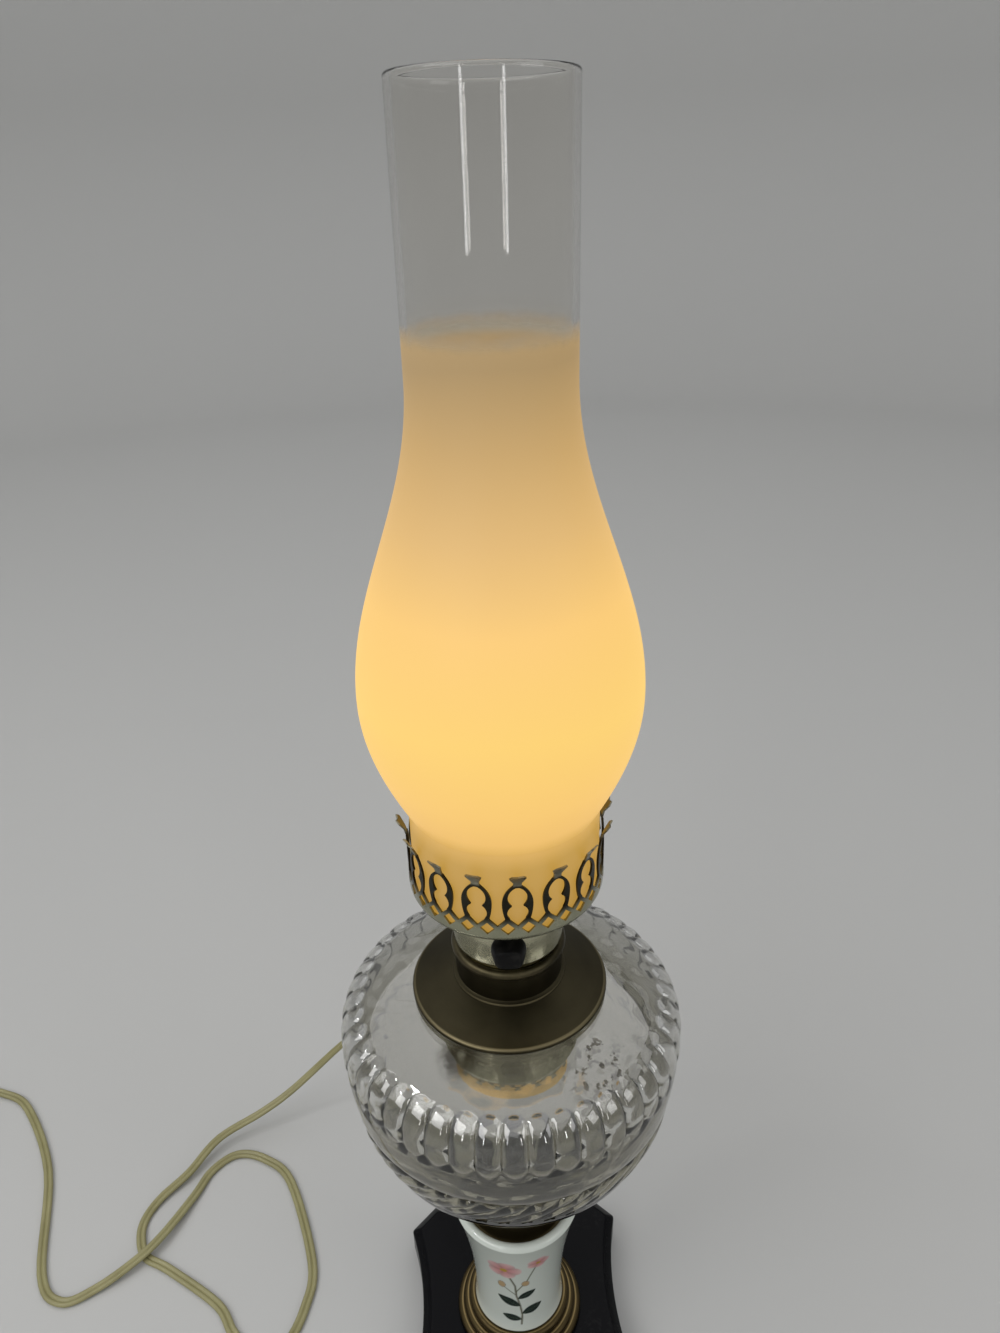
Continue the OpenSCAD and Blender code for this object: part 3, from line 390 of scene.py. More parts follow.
def blossom(u, v, centre, radius, petals=5):
    """1 inside a flower whose outline is a rounded star, the share of the way to its edge, and the
    share of the way from the fold between two petals to a petal's middle."""
    du, dv = u - centre[0], v - centre[1]
    fold, d = np.abs(np.cos(petals / 2 * np.arctan2(dv, du))), np.hypot(du, dv)
    edge = radius * (0.78 + 0.22 * fold**0.6)
    return np.clip((edge - d) / 0.5 + 0.5, 0, 1), np.clip(d / edge, 0, 1), fold


def paint_spray(x, y, z, front):
    """Colours of a painted spray, as the place round the column and up it, in millimetres. The
    sprig on the back is the same at a smaller size."""
    glaze_white, leaf_green, leaf_vein = (0.66, 0.70, 0.65), (0.022, 0.035, 0.030), (0.12, 0.14, 0.09)
    stem_brown, stalk_brown, heart_gold = (0.09, 0.08, 0.04), (0.10, 0.10, 0.05), (0.52, 0.33, 0.07)
    bud_tan, bud_edge = (0.50, 0.36, 0.20), (0.16, 0.10, 0.05)
    paint_r, mid_v, size = 25.0, 30.0, 1.0 if front else 0.8
    u = np.arctan2(x, -y if front else y) * paint_r / size
    v = (z * 1000 - foot_z - mid_v) / size + mid_v
    colour = np.broadcast_to(glaze_white, (len(u), 3)).copy()

    def lay(mask, paint):
        """Covers the colours so far with a paint, as far as the mask goes."""
        colour[:] = colour + mask[:, None] * (np.asarray(paint) - colour)

    stem = [(1, 6), (1.5, 14), (0.5, 22), (-1.5, 32), (-2, 42), (-5, 52)]
    lay(stroke(u, v, stem, 0.55) * 0.85, stem_brown)
    lay(stroke(u, v, [(-1.6, 36), (4, 46), (8, 60)], 0.4) * 0.8, stalk_brown)
    lay(stroke(u, v, [(-1.8, 33), (-8, 40)], 0.35) * 0.8, stalk_brown)
    for start, end, width in (((1.2, 10), (-10, 13), 2.8), ((1.4, 15), (13, 21), 3.3),
                              ((0.6, 22), (-12, 30), 3.3), ((-0.8, 29), (9, 36), 2.6)):
        mask, across = leaf(u, v, start, end, width)
        lay(mask, leaf_green)
        lay(mask * np.clip(0.12 - across, 0, 1) * 4, leaf_vein)
    for centre, radius in (((-7, 58), 8.5), ((9, 64), 5.5)):
        mask, out, fold = blossom(u, v, centre, radius)
        petal = np.stack([0.62 + 0.15 * out, 0.26 + 0.30 * out**2, 0.27 + 0.28 * out**2], -1)
        lay(mask * 0.92, petal * (0.72 + 0.28 * fold)[:, None])
        lay(np.clip((0.26 - out) / 0.08, 0, 1) * mask, heart_gold)
    for centre, tall in (((-9, 42), 3.0), ((3.4, 44), 2.6)):
        inside = 1 - np.hypot((u - centre[0]) / 2.0, (v - centre[1]) / tall)
        lay(np.clip(inside * 6, 0, 1), bud_tan)
        lay(np.clip(1 - np.abs(inside) * 7, 0, 1) * 0.8, bud_edge)
    return colour


spots = np.empty(len(column.data.vertices) * 3)
column.data.vertices.foreach_get("co", spots)
x, y, z = spots.reshape(-1, 3).T
colour = np.where((y < 0)[:, None], paint_spray(x, y, z, True), paint_spray(x, y, z, False))
painted = column.data.attributes.new("painting", "FLOAT_COLOR", "POINT")
painted.data.foreach_set("color", np.column_stack([colour, np.ones(len(colour))]).ravel())
glaze, shader, place = new_finish("column_glaze", Roughness=0.16, Coat_Weight=0.5, Coat_Roughness=0.04)
spray = place.node("Attribute", {"attribute_name": "painting"}, output="Color")
mottle = place.node("TexNoise", inputs={"Vector": place, "Scale": 35.0, "Detail": 4.0})
tint = mottle.blend((0.86, 0.92, 0.90, 1), (1.0, 1.0, 0.97, 1))
fired = spray.node("Mix", {"data_type": "RGBA", "blend_type": "MULTIPLY"}, {0: 0.35, 6: spray, 7: tint}, 2)
fired.feed(shader, "Base Color")
place.node("Bump", inputs={"Strength": 0.05, "Distance": 0.001, "Height": mottle}).feed(shader, "Normal")
column.data.materials.append(glaze)
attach(column, "lamp")
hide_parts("column")


# Tie rod, washer and nut: plain steel, hidden in the stem and in the well under the base. The
# finish carries the rod's thread, and serves the nipple's nut and the switch's shaft as well.
thread_pitch = 0.00125
bright, shader, place = new_finish("rod_steel", Metallic=1.0)
thread = (height_of(place) * (1 / thread_pitch)).math("FRACT").math("PINGPONG", 0.5)
soot = place.node("TexNoise", inputs={"Vector": place, "Scale": 160.0, "Detail": 3.0})
soot.blend((0.34, 0.33, 0.31, 1), (0.58, 0.57, 0.55, 1)).feed(shader, "Base Color")
(soot * 0.3 + 0.25).feed(shader, "Roughness")
place.node("Bump", inputs={"Strength": 0.5, "Distance": 0.0004, "Height": thread}).feed(shader, "Normal")
dress(bright, "tie_rod", "rod_washer", "rod_nut", "nipple_locknut", "switch_shaft")


# Font connector: dark brass cup, turned with a bead and a lip, that stands on the column's seat.
# The bowl's peg is cemented in it.
cup_wall = np.array([[3.5, 97], [9, 97], [9, 109], [26.6, 109.05], [26.7, 109.4], [26.7, 110.6], [26.3, 111],
                     [24.6, 111.2], [23.9, 112], [23.7, 116], [23.9, 122], [24.6, 124.2], [25.5, 125],
                     [25.7, 126], [25.6, 127.4], [25.1, 128], [17.3, 128], [17.3, 113.8], [3.5, 113.7]])
connector = spun("font_connector_brass", cup_wall, closed=True)


def spun_tarnish(place):
    """Wires of the fine rings that spinning leaves, of clouds of tarnish, and of the two together
    as a share from dark to bright."""
    squeezed = place.node("Mapping", inputs={"Vector": place, "Scale": (1.0, 1.0, 14.0)})
    spin = place.node("TexNoise", inputs={"Vector": squeezed, "Scale": 26.0, "Detail": 5.0, "Roughness": 0.6})
    clouds = place.node("TexNoise", inputs={"Vector": place, "Scale": 34.0, "Detail": 6.0, "Roughness": 0.6})
    return spin, clouds, spin * 0.4 + clouds * 0.75 - 0.1


antique, shader, place = new_finish("antique_brass", Metallic=1.0)
spin, clouds, brightness = spun_tarnish(place)
brightness.blend((0.050, 0.040, 0.022, 1), (0.17, 0.14, 0.075, 1)).feed(shader, "Base Color")
(clouds * 0.3 + 0.24).feed(shader, "Roughness")
place.node("Bump", inputs={"Strength": 0.08, "Distance": 0.0006, "Height": spin}).feed(shader, "Normal")
connector.data.materials.append(antique)
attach(connector, "lamp")
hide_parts("font_connector")


# Font: the oil bowl, pressed clear glass. Upright lobes stand round its shoulder, a rope band
# of slanting gadroons lies below them, the lower bowl is smooth and the inside a little uneven.
girth_r, girth_z, dome_h, glass_t, square = 76.0, 237.0, 24.1, 4.0, 3.2
hip_r, hip_d, bowl_foot, neck_r, neck_in = 52.0, 62.0, np.array([24.5, 128.0]), 19.0, 15.5
lobes, ropes, per_lobe = 44, 44, 12


def bowl_line(foot, girth, depth, rise, mouth):
    """Section of the bowl in millimetres. From the foot a cone with a slight bulge; from the turn
    to the girth r = hip + w cos a, z = girth - depth sin a; over the shoulder and the dome
    r = girth cos^(2/n) a, z = girth + rise sin^(2/n) a, in to the mouth."""
    a = np.radians(np.linspace(80, 0, 400))[:, None]
    side = np.hstack([hip_r + (girth - hip_r) * np.cos(a), girth_z - depth * np.sin(a)])
    s = np.linspace(0, 1, 200, endpoint=False)[:, None]
    cone = foot + s * (side[0] - foot) + [[6.0, 0.0]] * s * (1 - s)
    a = np.linspace(0, np.arccos((mouth / girth) ** (square / 2)), 800)[1:, None]
    dome = np.hstack([girth * np.cos(a) ** (2 / square), girth_z + rise * np.sin(a) ** (2 / square)])
    return np.vstack([cone, side, dome])


def length_along(line):
    """Distance along a section from its first point to each of its points."""
    return np.concatenate([[0], np.linalg.norm(np.diff(line, axis=0), axis=1).cumsum()])


def points_at(run, line):
    """Points of a section at the given distances along it."""
    line_run = length_along(line)
    return np.stack([np.interp(run, line_run, line[:, 0]), np.interp(run, line_run, line[:, 1])], -1)


def pressed_relief(run, r, turn):
    """Depth of the pattern below the plain bowl, by distance along its section and turn round it:
    a ground that the crests stand up from. A crest falls as (1 - d^2.4)^0.55, where d is the
    distance from a lobe's middle line, with half-round ends, and as (1 - d^2.2)^0.55 from the
    middle of a slanting rope."""
    ground = np.interp(run, [rope_low - 5, rope_low, rope_top, rope_top + 2, lobe_foot - 1, lobe_foot + 2,
                             lobe_tip - 5, lobe_tip + 1, dome_end],
                       [0.0, 1.5, 1.5, 0.5, 0.5, 1.6, 1.6, 0.9, 0.0])
    across = 2 * ((turn * lobes / (2 * np.pi) + 0.5) % 1 - 0.5)
    half_w = np.pi * r / lobes
    past_tip = np.maximum(0, run - lobe_tip + half_w) / half_w
    past_foot = np.maximum(0, lobe_foot + half_w - run) / half_w
    lobe = 1 - np.minimum(1, np.sqrt(across**2 + past_tip**2 + past_foot**2)) ** 2.4
    up_band = (run - rope_low) / (rope_top - rope_low)
    slant = 2 * ((turn * ropes / (2 * np.pi) - 2.2 * (up_band - 0.5) + 0.5) % 1 - 0.5)
    rope = (1 - np.abs(slant) ** 2.2) * np.clip(1 - np.abs(2 * up_band - 1) ** 4, 0, 1)
    return ground * (1 - np.maximum(lobe, rope) ** 0.55)


def inner_ripple(run, z, turn):
    """Unevenness of the inside, in millimetres: three sine waves along the section and round it,
    two of them bent by another, which fade out at the lower bowl and at the mouth."""
    ripple = (0.26 * np.sin(14 * turn + 0.22 * run) * np.sin(0.42 * run + 2.4 * np.sin(6 * turn))
              + 0.15 * np.sin(0.66 * run + 1.8 * np.sin(9 * turn + 1)) + 0.08 * np.sin(37 * turn + 0.3 * run))
    return ripple * np.clip((z - 170) / 30, 0, 1) * np.clip((256.5 - z) / 4, 0, 1)


def swept(line, turn, depth=0.0):
    """Rings of a section round the lamp's axis, moved square to the section by a depth, which is
    inwards where the section runs up."""
    slope = np.gradient(line, axis=0)
    slope /= np.linalg.norm(slope, axis=1, keepdims=True) + 1e-9
    r, z = line[:, :1] - slope[:, 1:] * depth, line[:, 1:] + slope[:, :1] * depth
    return np.stack(np.broadcast_arrays(r * np.cos(turn), r * np.sin(turn), z), -1)


plain_bowl = bowl_line(bowl_foot, girth_r, hip_d, dome_h, neck_r)
bowl_run = length_along(plain_bowl)
pattern_z = [192.0, 209.5, 230.5, 254.8, 259.6]
rope_low, rope_top, lobe_foot, lobe_tip, dome_end = np.interp(pattern_z, plain_bowl[:, 1], bowl_run)
run = np.unique(np.concatenate([
    np.linspace(0, rope_low, 24), np.arange(rope_low, rope_top, 0.8), np.linspace(rope_top, lobe_foot, 8),
    np.arange(lobe_foot, lobe_tip + 2, 0.8), np.linspace(lobe_tip + 2, bowl_run[-1], 20)]))
outside = points_at(run, plain_bowl)
turn = np.linspace(0, 2 * np.pi, per_lobe * lobes, endpoint=False)
shell = swept(outside, turn, pressed_relief(run[:, None], outside[:, :1], turn))
peg = np.array([[0, 114], [16.6, 114], [17, 114.4], [17, 127.9], [24.3, 128]])
neck = np.array([[neck_r, 262.5], [neck_r, 274.6], [neck_r - 0.4, 275]])
outer_rows = np.concatenate([swept(peg, turn), shell, swept(neck, turn)])
inner_foot = bowl_foot + [-glass_t, 7.0]
inner_line = bowl_line(inner_foot, girth_r - glass_t, hip_d - glass_t, dome_h - glass_t, neck_in)
inside = points_at(np.linspace(length_along(inner_line)[-1], 0, 84), inner_line)
inside = np.vstack([[[neck_in + 0.4, 275], [neck_in, 274.6]], inside, [[10, 135], [0, 135]]])
inner_turn = turn[::2]
ripple = inner_ripple(length_along(inside)[:, None], inside[:, 1:], inner_turn)
inner_rows = swept(inside, inner_turn, -ripple)
first_ring = outer_rows[..., 0].size
last_ring = first_ring - len(turn)
outer_faces = grid_faces(len(outer_rows), len(turn), wrap_columns=True)
inner_faces = grid_faces(len(inner_rows), len(inner_turn), wrap_columns=True) + first_ring
j = np.arange(len(inner_turn))
lip_faces = np.stack([last_ring + 2 * j, last_ring + 2 * j + 1, last_ring + (2 * j + 2) % len(turn),
                      first_ring + (j + 1) % len(j), first_ring + j], -1)
skin = np.vstack([outer_rows.reshape(-1, 3), inner_rows.reshape(-1, 3)]) / 1000
font = lay_mesh("font_bowl", skin, outer_faces, lip_faces, inner_faces, sharp_deg=55)


def distance_to(place, spot):
    """Wire of the distance from a spot."""
    return place.node("VectorMath", {"operation": "DISTANCE"}, {0: place, 1: spot}, "Value")


crystal, shader, place = new_finish("font_clear_glass", Transmission_Weight=1.0, IOR=1.5, Roughness=0.05,
                                    Coat_Roughness=0.02, Coat_IOR=2.2)
# Dark flecks lie on the dome's front right, and a dark brown mottled patch lies on its front left, just below
# the collar's rim. Both also thin the coat.
specks = place.node("TexNoise", inputs={"Vector": place, "Scale": 230.0, "Detail": 3.0})
crumb_patch = distance_to(place, (0.034, -0.045, 0.256))
crumbs = specks.smooth(0.56, 0.62) * (1.0 - crumb_patch.smooth(0.009, 0.020))
left_patch_noise = place.node("TexNoise", inputs={"Vector": place, "Scale": 120.0, "Detail": 5.0})
left_patch_distance = distance_to(place, (-0.0215, -0.0415, 0.2594))
left_dark_patch = left_patch_noise.smooth(0.36, 0.52) * (1.0 - left_patch_distance.smooth(0.004, 0.012)) * 0.95
# The glass is tinted dark olive below the lobes and pale grey on the dome. The dark olive is painted shade on
# the lower bowl.
lower_bowl_painted_shade = height_of(place).smooth(0.212, 0.252).blend((0.37, 0.350, 0.265, 1), (0.80, 0.80, 0.775, 1))
dark_marks = crumbs.math("MAXIMUM", left_dark_patch)
dark_marks.blend(lower_bowl_painted_shade, (0.12, 0.10, 0.07, 1)).feed(shader, "Base Color")
bright_dome = height_of(place).smooth(0.240, 0.256) * 0.8 + 0.2
((1.0 - dark_marks * 0.9) * bright_dome).feed(shader, "Coat Weight")
waves = place.node("TexNoise", inputs={"Vector": place, "Scale": 28.0, "Detail": 2.0})
place.node("Bump", inputs={"Strength": 0.10, "Distance": 0.002, "Height": waves}).feed(shader, "Normal")
font.data.materials.append(crystal)
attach(font, "lamp")
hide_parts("font")


# Collar: dark spun brass set on the bowl's neck with plaster: a rolled rim, a sloping flange,
# a short neck and a bead that the burner screws into.
flange_z, collar_top, collar_r, collar_in = 260.283, 286.483, 41.1, 21.4
slope_z = flange_z + 9.2
flange_rim = arc(collar_r, flange_z + 1.5, 1.5, -80, 80, 10)
flange_foot = arc(24.0, slope_z - 0.2, 0.5, 40, 95, 4)
flange = np.vstack([[[collar_r + 0.1, flange_z]], flange_rim, [[24.6, slope_z - 0.9]], flange_foot,
                    [[22.9, slope_z + 0.9]]])
bead = arc(22.35, collar_top - 2.25, 2.25, -62, 75, 10)
lining = np.array([[21.8, collar_top], [collar_in, collar_top - 0.3], [collar_in, slope_z - 1.4],
                   [40.4, flange_z + 1.6], [40.4, flange_z + 0.4]])
collar = spun("collar_brass", np.vstack([flange, bead, lining]), closed=True)
collar_tarnish_and_highlights, shader, place = new_finish("collar_brass_painted_highlights", Metallic=1.0)
out, up = from_axis(place), height_of(place)
spin, clouds, brightness = spun_tarnish(place)
# Thin bright lines round the rim's edge and at the flange's foot, and bright patches on the bead, are painted
# highlights over the tarnish.
rim_painted_highlight = out.smooth(0.0410, 0.0416) * up.smooth(0.2622, 0.2629)
foot_painted_highlight = (1.0 - out.smooth(0.0244, 0.0248)) * up.smooth(0.2688, 0.2691) * (1.0 - up.smooth(0.2694, 0.2698))
bead_painted_highlight = up.smooth(0.2822, 0.2845) * clouds.smooth(0.35, 0.7)
painted_highlights = (rim_painted_highlight * 0.55 + foot_painted_highlight * 0.45 + bead_painted_highlight * 0.4).math("MINIMUM", 1.0)
tarnish = brightness.blend((0.022, 0.019, 0.011, 1), (0.082, 0.070, 0.040, 1))
painted_highlights.blend(tarnish, (0.25, 0.21, 0.12, 1)).feed(shader, "Base Color")
(clouds * 0.3 + 0.26).feed(shader, "Roughness")
place.node("Bump", inputs={"Strength": 0.08, "Distance": 0.0006, "Height": spin}).feed(shader, "Normal")
collar.data.materials.append(collar_tarnish_and_highlights)
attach(collar, "lamp")
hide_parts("collar")
plaster, shader, place = new_finish("collar_plaster", Roughness=0.9)
grit = place.node("TexNoise", inputs={"Vector": place, "Scale": 300.0, "Detail": 4.0})
grit.blend((0.56, 0.53, 0.47, 1), (0.74, 0.72, 0.66, 1)).feed(shader, "Base Color")
dress(plaster, "collar_cement")


# Burner cup: pale lacquered brass, drawn from sheet, screwed into the collar by its spigot.
# The switch's shaft comes out in front, and the cord through a bushing at the back.
cup_z, cup_top, spigot_r, spigot_in, nipple_r = 290.683, 314.683, 21.3, 20.1, 5.2
spigot_z, curl = collar_top - 11, 2.2
spigot = np.array([[spigot_in, spigot_z], [spigot_r, spigot_z], [spigot_r, cup_z - curl]])
outer = np.vstack([spigot, arc(spigot_r, cup_z, curl, -90, 0, 8) + [[0.1, 0]], [[23.6, cup_top - curl]],
                   arc(25.8, cup_top - curl - 0.9, curl, 180, 90, 8),
                   arc(26.6, cup_top - 0.45, 0.45, -80, 80, 6)])
inner = np.array([[24.5, cup_top], [22.7, cup_top - 2], [22.7, cup_z + 0.9], [21.0, cup_z + 0.1],
                  [nipple_r, cup_z + 0.9], [nipple_r, cup_z], [spigot_in, cup_z - 0.6]])
cup = spun("burner_cup_brass", np.vstack([outer, inner]), closed=True)
lacquer, shader, place = new_finish("pale_lacquered_brass", Metallic=1.0)
ageing = place.node("TexNoise", inputs={"Vector": place, "Scale": 55.0, "Detail": 6.0, "Roughness": 0.62})
lines = place.node("Mapping", inputs={"Vector": place, "Scale": (0.4, 0.4, 14.0)})
spin = place.node("TexNoise", inputs={"Vector": lines, "Scale": 18.0, "Detail": 2.0})
(ageing * 0.7 + spin * 0.3).blend((0.36, 0.35, 0.24, 1), (0.52, 0.50, 0.37, 1)).feed(shader, "Base Color")
(ageing * 0.08 + spin * 0.04 + 0.07).feed(shader, "Roughness")
cup.data.materials.append(lacquer)
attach(cup, "lamp")
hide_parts("burner_cup")


# Socket: moulded insulator with a rolled brass screw shell in a card liner, held on the cup by a
# threaded nipple and nut. Two screws at its sides take the leads.
for finish, first, second, scale, rough, metal, parts in (
        ("socket_fibre", (0.16, 0.08, 0.04, 1), (0.28, 0.15, 0.08, 1), 240.0, 0.7, 0.0, ("socket_cover",)),
        ("socket_moulding", (0.030, 0.026, 0.022, 1), (0.060, 0.052, 0.045, 1), 180.0, 0.4, 0.0,
         ("socket_body", "switch_rotor", "bulb_contact")),
        ("socket_card", (0.36, 0.26, 0.15, 1), (0.52, 0.40, 0.25, 1), 420.0, 0.9, 0.0, ("socket_liner",)),
        ("socket_brass", (0.46, 0.36, 0.17, 1), (0.66, 0.55, 0.30, 1), 150.0, 0.3, 1.0,
         ("screw_shell", "centre_contact", "terminal_screws", "socket_nipple")),
        ("lead_insulation", (0.26, 0.23, 0.10, 1), (0.42, 0.38, 0.20, 1), 260.0, 0.5, 0.0, ("lead_wires",))):
    stuff, shader, place = new_finish(finish, Metallic=metal)
    mottle = place.node("TexNoise", inputs={"Vector": place, "Scale": scale, "Detail": 4.0})
    mottle.blend(first, second).feed(shader, "Base Color")
    (mottle * 0.2 + (rough - 0.1)).feed(shader, "Roughness")
    dress(stuff, *parts)


# Turn knob: a black moulding with two flat sides, narrow at its root and widest near the cup.
# It is pushed onto the switch's shaft and turns with it.
knob_y, knob_z, knob_half_t, knob_square = -24.8, 304.983, 4.3, 3.2
knob_line = np.array([[0, 4.4], [0.3, 4.9], [1.2, 5.5], [2.4, 6.3], [3.5, 6.8], [4.6, 7.0], [6.0, 6.8],
                      [8.4, 6.2], [10.2, 5.7], [10.9, 5.3], [11.3, 4.7], [11.5, 4.0], [11.5, 0.0]])


def flattened(line, count):
    """Rings along the knob: a line of distance from the root and half width, carried round a
    squared ellipse, sign(cos a) |cos a|^(2/n), whose half height stops at the knob's flats."""
    a = np.linspace(0, 2 * np.pi, count, endpoint=False)
    wide, thick = line[:, 1:], np.minimum(knob_half_t, line[:, 1:] * 0.85)
    x = wide * np.sign(np.cos(a)) * np.abs(np.cos(a)) ** (2 / knob_square)
    z = thick * np.sign(np.sin(a)) * np.abs(np.sin(a)) ** (2 / knob_square)
    return np.stack([x, knob_y - line[:, :1] + 0 * a, knob_z + z], -1) / 1000


knob_rings = flattened(knob_line, 96)
root = knob_rings[:1] * [0, 1, 0] + [0, 0, knob_z / 1000]
knob_rings = np.concatenate([root, knob_rings])
knob_faces = grid_faces(*knob_rings.shape[:2], wrap_columns=True)
knob = lay_mesh("turn_knob_moulding", knob_rings, knob_faces, sharp_deg=50)
jet, shader, place = new_finish("knob_jet_black", Specular_IOR_Level=0.1)
rub = place.node("TexNoise", inputs={"Vector": place, "Scale": 260.0, "Detail": 5.0})
rub.smooth(0.45, 0.8).blend((0.005, 0.005, 0.005, 1), (0.018, 0.017, 0.016, 1)).feed(shader, "Base Color")
(rub * 0.25 + 0.32).feed(shader, "Roughness")
place.node("Bump", inputs={"Strength": 0.15, "Distance": 0.0003, "Height": rub}).feed(shader, "Normal")
knob.data.materials.append(jet)
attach(knob, "switch")
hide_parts("turn_knob")


# Gallery: sheet brass pierced with a row of diamonds and a crown of pointed arches, which spring
# against the chimney's foot. The arches are painted near black as shade, their tails are a mid brass,
# and the band is bright brass.
cone_r, band_r, cone_rise, roll_r = 0.027, 0.0376, 0.453, 0.00195
cone_z, half_sheet, hem_t = cup_top / 1000, 0.00045, 0.0013
hem_z, roll_z, tail_z, tail_h = 0.3220, 0.321883, 0.344383, 0.00834


def worn_sheet(points):
    """The pierced sheet with its hem thickened under the band by 1.3 mm, and its fishtails curled:
    a share s of a tail's height goes to s - 0.09 s^2, and its lean from 3.4 s to 1.2 s + 2.5 s^2 mm."""
    r, z = np.hypot(points[:, 0], points[:, 1]), points[:, 2]
    under = z < cone_z + (r - cone_r) * cone_rise + half_sheet
    rolled = np.hypot(r - band_r, z - roll_z) > roll_r
    hem = np.where(r < band_r, under, rolled) * np.clip((hem_z - z) / 0.002, 0, 1)
    hem = hem * np.clip((r - cone_r) / 0.007, 0, 1)
    s = np.clip((z - tail_z) / tail_h, 0, 1)
    out = 1 + (0.0025 * s**2 - 0.0022 * s) / np.maximum(r, 0.01)
    return np.stack([points[:, 0] * out, points[:, 1] * out, z - hem_t * hem - 0.09 * tail_h * s**2], -1)


sheet = nodes["gallery"].data
corners = np.empty(len(sheet.vertices) * 3)
sheet.vertices.foreach_get("co", corners)
sheet_faces = np.array([face.vertices for face in sheet.polygons])
gallery = lay_mesh("gallery_sheet", worn_sheet(corners.reshape(-1, 3)), sheet_faces, sharp_deg=30)
gallery_brass_and_shade, shader, place = new_finish("gallery_pierced_brass", Metallic=1.0)
up = height_of(place)
# Above the band, the arches are painted near black as shade, and the tails above them go back to a mid brass.
crown_mask = up.smooth(0.3235, 0.3300)
smoke = place.node("TexNoise", inputs={"Vector": place, "Scale": 70.0, "Detail": 6.0, "Roughness": 0.6})
bright_band = smoke.blend((0.24, 0.24, 0.165, 1), (0.40, 0.40, 0.29, 1))
crown_painted_shade = smoke.blend((0.007, 0.006, 0.004, 1), (0.024, 0.020, 0.013, 1))
shaded_arches_and_tails = up.smooth(0.3445, 0.3462).blend(crown_painted_shade, (0.26, 0.245, 0.18, 1))
(crown_mask * (smoke * 0.3 + 0.8)).math("MINIMUM", 1.0).blend(bright_band, shaded_arches_and_tails).feed(shader, "Base Color")
(smoke * 0.25 + crown_mask * 0.12 + 0.12).feed(shader, "Roughness")
place.node("Bump", inputs={"Strength": 0.06, "Distance": 0.0005, "Height": smoke}).feed(shader, "Normal")
gallery.data.materials.append(gallery_brass_and_shade)
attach(gallery, "lamp")
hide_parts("gallery")


# Bulb: a frosted glass globe, lit, blown with a neck that is cemented into a rolled aluminium
# cap. It screws into the socket's shell.
bulb_foot_z, bulb_foot_r, globe_z, globe_r, join_r = 347.483, 12.1, 401.483, 30.0, 24.0
join_z = globe_z - np.sqrt(globe_r**2 - join_r**2)
t = np.linspace(0, 1, 30)
stem = np.stack([bulb_foot_r + (join_r - bulb_foot_r) * (1 - np.cos(np.pi * t)) / 2,
                 bulb_foot_z + (join_z - bulb_foot_z) * t], -1)
globe = arc(0, globe_z, globe_r, np.degrees(np.arctan2(join_z - globe_z, join_r)), 90, 48)
bulb = spun("bulb_globe", np.vstack([[[0, bulb_foot_z]], stem, globe[1:]]), columns=96, sharp_deg=60)
lit, shader, place = new_finish("bulb_frosted_lit", Base_Color=(0.85, 0.80, 0.70, 1), Roughness=0.45,
                                Emission_Strength=2.2)
hot = height_of(place).smooth(0.352, 0.385)
hot.blend((0.55, 0.30, 0.09, 1), (1.0, 0.72, 0.34, 1)).feed(shader, "Emission Color")
bulb.data.materials.append(lit)
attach(bulb, "bulb")
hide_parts("bulb_envelope")
aluminium, shader, place = new_finish("bulb_cap_aluminium", Metallic=1.0)
scuff = place.node("TexNoise", inputs={"Vector": place, "Scale": 200.0, "Detail": 4.0})
scuff.blend((0.62, 0.62, 0.61, 1), (0.80, 0.80, 0.79, 1)).feed(shader, "Base Color")
(scuff * 0.3 + 0.2).feed(shader, "Roughness")
dress(aluminium, "bulb_cap")


# Chimney: blown glass with a straight foot, a round belly and a long neck. It is opal up to the
# lower neck and clear above, and glows from the bulb inside. It stands loose in the gallery.
chimney_z, chimney_h, wall_t = 320.683, 283.0, 2.2
fitter_r, belly_r, stack_r, fitter_h, belly_h, stack_h = 38.0, 53.5, 28.2, 37.0, 86.0, 199.0


def chimney_radius(h):
    """Outer radius by height: a straight foot, a belly that swells as a sine to the power 0.95,
    half a cosine wave in to the neck, and the straight neck."""
    rise = np.clip((h - fitter_h) / (belly_h - fitter_h), 0, 1)
    fall = np.clip((h - belly_h) / (stack_h - belly_h), 0, 1)
    swell = fitter_r + (belly_r - fitter_r) * np.sin(np.pi / 2 * rise) ** 0.95
    taper = stack_r + (belly_r - stack_r) * (1 + np.cos(np.pi * fall)) / 2
    return np.where(h < belly_h, swell, taper)


h = np.linspace(wall_t / 2, chimney_h - wall_t / 2, 260)
outer_wall = np.stack([chimney_radius(h), chimney_z + h], -1)
inner_wall = outer_wall[::-1] - [[wall_t, 0]]
top_lip = arc(stack_r - wall_t / 2, chimney_z + h[-1], wall_t / 2, 0, 180, 10)
foot_lip = arc(fitter_r - wall_t / 2, chimney_z + h[0], wall_t / 2, 180, 360, 10)
chimney = spun("chimney_glass", np.vstack([outer_wall, top_lip[1:-1], inner_wall, foot_lip[1:-1]]),
               columns=160, closed=True, sharp_deg=60)
opal, shader, place = new_finish("chimney_opal_glass", Roughness=0.5, Specular_IOR_Level=0.25,
                                 Emission_Strength=1.0)
up = height_of(place)
cloud = place.node("TexNoise", inputs={"Vector": place, "Scale": 14.0, "Detail": 3.0})
cloud.blend((0.090, 0.083, 0.073, 1), (0.110, 0.101, 0.090, 1)).feed(shader, "Base Color")
cloudy_up = up + cloud * 0.010 - 0.005
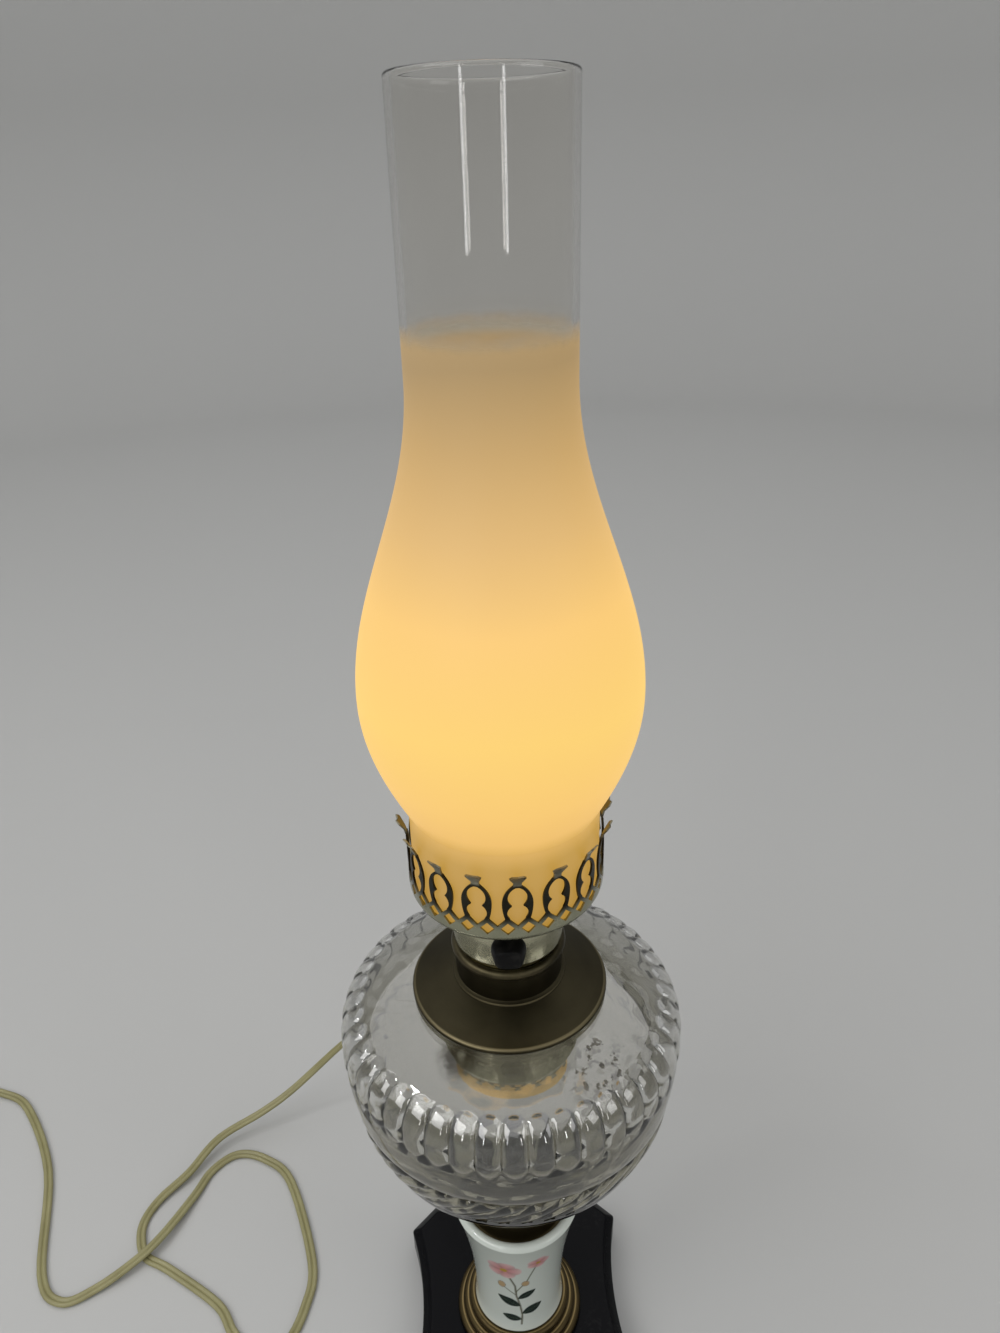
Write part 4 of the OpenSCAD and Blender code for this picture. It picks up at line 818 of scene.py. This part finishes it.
# The opal's glow is painted light in its emission: a warm ramp by height, brightest at the belly.
glow = up.node("MapRange", inputs={"Value": cloudy_up, "From Min": 0.3206, "From Max": 0.5406})
warmth = glow.node("ValToRGB", {"stops": [
    (0.0, (0.40, 0.22, 0.03)), (0.14, (0.49, 0.275, 0.035)), (0.21, (0.81, 0.48, 0.12)),
    (0.28, (0.88, 0.535, 0.13)), (0.42, (0.92, 0.59, 0.13)), (0.58, (0.90, 0.545, 0.14)),
    (0.70, (0.69, 0.42, 0.13)), (0.82, (0.515, 0.315, 0.10)), (0.93, (0.35, 0.225, 0.085)),
    (1.0, (0.37, 0.245, 0.10))]}, {0: glow})
# A pale band of painted glow lies inside the opal's top edge.
opal_edge_glow = up.smooth(0.5270, 0.5330) * (1.0 - from_axis(place).smooth(0.0266, 0.0276))
opal_edge_glow.blend(warmth, (0.25, 0.25, 0.22, 1)).feed(shader, "Emission Color")
clear = place.node("BsdfPrincipled", inputs={"Base Color": (0.925, 0.915, 0.895, 1), "Roughness": 0.02,
                                             "Transmission Weight": 1.0, "IOR": 1.45})
edge_fuzz = place.node("TexNoise", inputs={"Vector": place, "Scale": 150.0, "Detail": 5.0})
above_edge = (up + edge_fuzz * 0.003 - 0.0015).smooth(0.5300, 0.5375)
glass = clear.node("MixShader", inputs={0: above_edge, 1: Wire(shader.outputs[0]), 2: clear})
glass.feed(opal.node_tree.nodes["Material Output"], "Surface")
chimney.data.materials.append(opal)
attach(chimney, "chimney_body")
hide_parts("chimney")


# Bushing, tie and plug: a ribbed sleeve where the cord leaves the cup, a strap round the coil
# and a brown moulded plug with two flat brass blades.
moulded, shader, place = new_finish("brown_moulding")
pores = place.node("TexNoise", inputs={"Vector": place, "Scale": 330.0, "Detail": 4.0})
pores.blend((0.055, 0.036, 0.020, 1), (0.105, 0.070, 0.040, 1)).feed(shader, "Base Color")
(pores * 0.2 + 0.38).feed(shader, "Roughness")
place.node("Bump", inputs={"Strength": 0.2, "Distance": 0.0002, "Height": pores}).feed(shader, "Normal")
dress(moulded, "cord_bushing", "cord_tie", "plug_body")
dress(lacquer, "plug_blades")


# Stage: a pale round floor that curves up into a wall on all sides, under a broad soft ceiling
# light. A key and a fill stand to the sides, a small window light glints on the bowl, and two
# narrow strips glint on the clear neck.
floor_r, cove_r, wall_z = 2400, 800, 2500
cove = np.vstack([[[0, 0]], arc(floor_r, cove_r, cove_r, -90, 0, 24), [[floor_r + cove_r, wall_z]]])
floor = spun("stage_floor", cove, columns=128)
pale = new_finish("stage_pale", Base_Color=(0.52, 0.52, 0.51, 1), Roughness=0.55)[0]
floor.data.materials.append(pale)
for name, spot, target, size, watts in (
        ("key_left", (-1.3, -1.1, 1.7), (0, 0, 0.25), (1.6, 1.2), 14.0),
        ("ceiling", (-0.7, 0.2, 2.6), (-0.5, 0.1, 0.26), (6.0, 6.0), 78.0),
        ("window", (-0.80, -0.10, 1.20), (0, 0, 0.26), (0.10, 0.08), 0.8),
        ("fill_right", (1.5, -0.9, 1.3), (0, 0, 0.25), (1.0, 1.0), 5.0),
        ("strip_left", (-0.62, -1.35, 0.76), (0, 0, 0.5), (0.06, 0.62), 0.9),
        ("strip_right", (0.62, -1.35, 0.76), (0, 0, 0.5), (0.06, 0.62), 0.9)):
    light = bpy.data.lights.new(name, "AREA")
    light.shape, light.size, light.size_y, light.energy = "RECTANGLE", *size, watts
    holder = bpy.data.objects.new(name, light)
    back = np.subtract(spot, target) / np.linalg.norm(np.subtract(spot, target))
    right = np.cross([0, 0, 1], back)
    right /= np.linalg.norm(right)
    holder.matrix_world = placed(right, np.cross(back, right), back, spot)
    scene.collection.objects.link(holder)
world = bpy.data.worlds.new("studio")
world.use_nodes = True
world.node_tree.nodes["Background"].inputs["Color"].default_value = (0.80, 0.82, 0.85, 1)
world.node_tree.nodes["Background"].inputs["Strength"].default_value = 0.16
scene.world = world
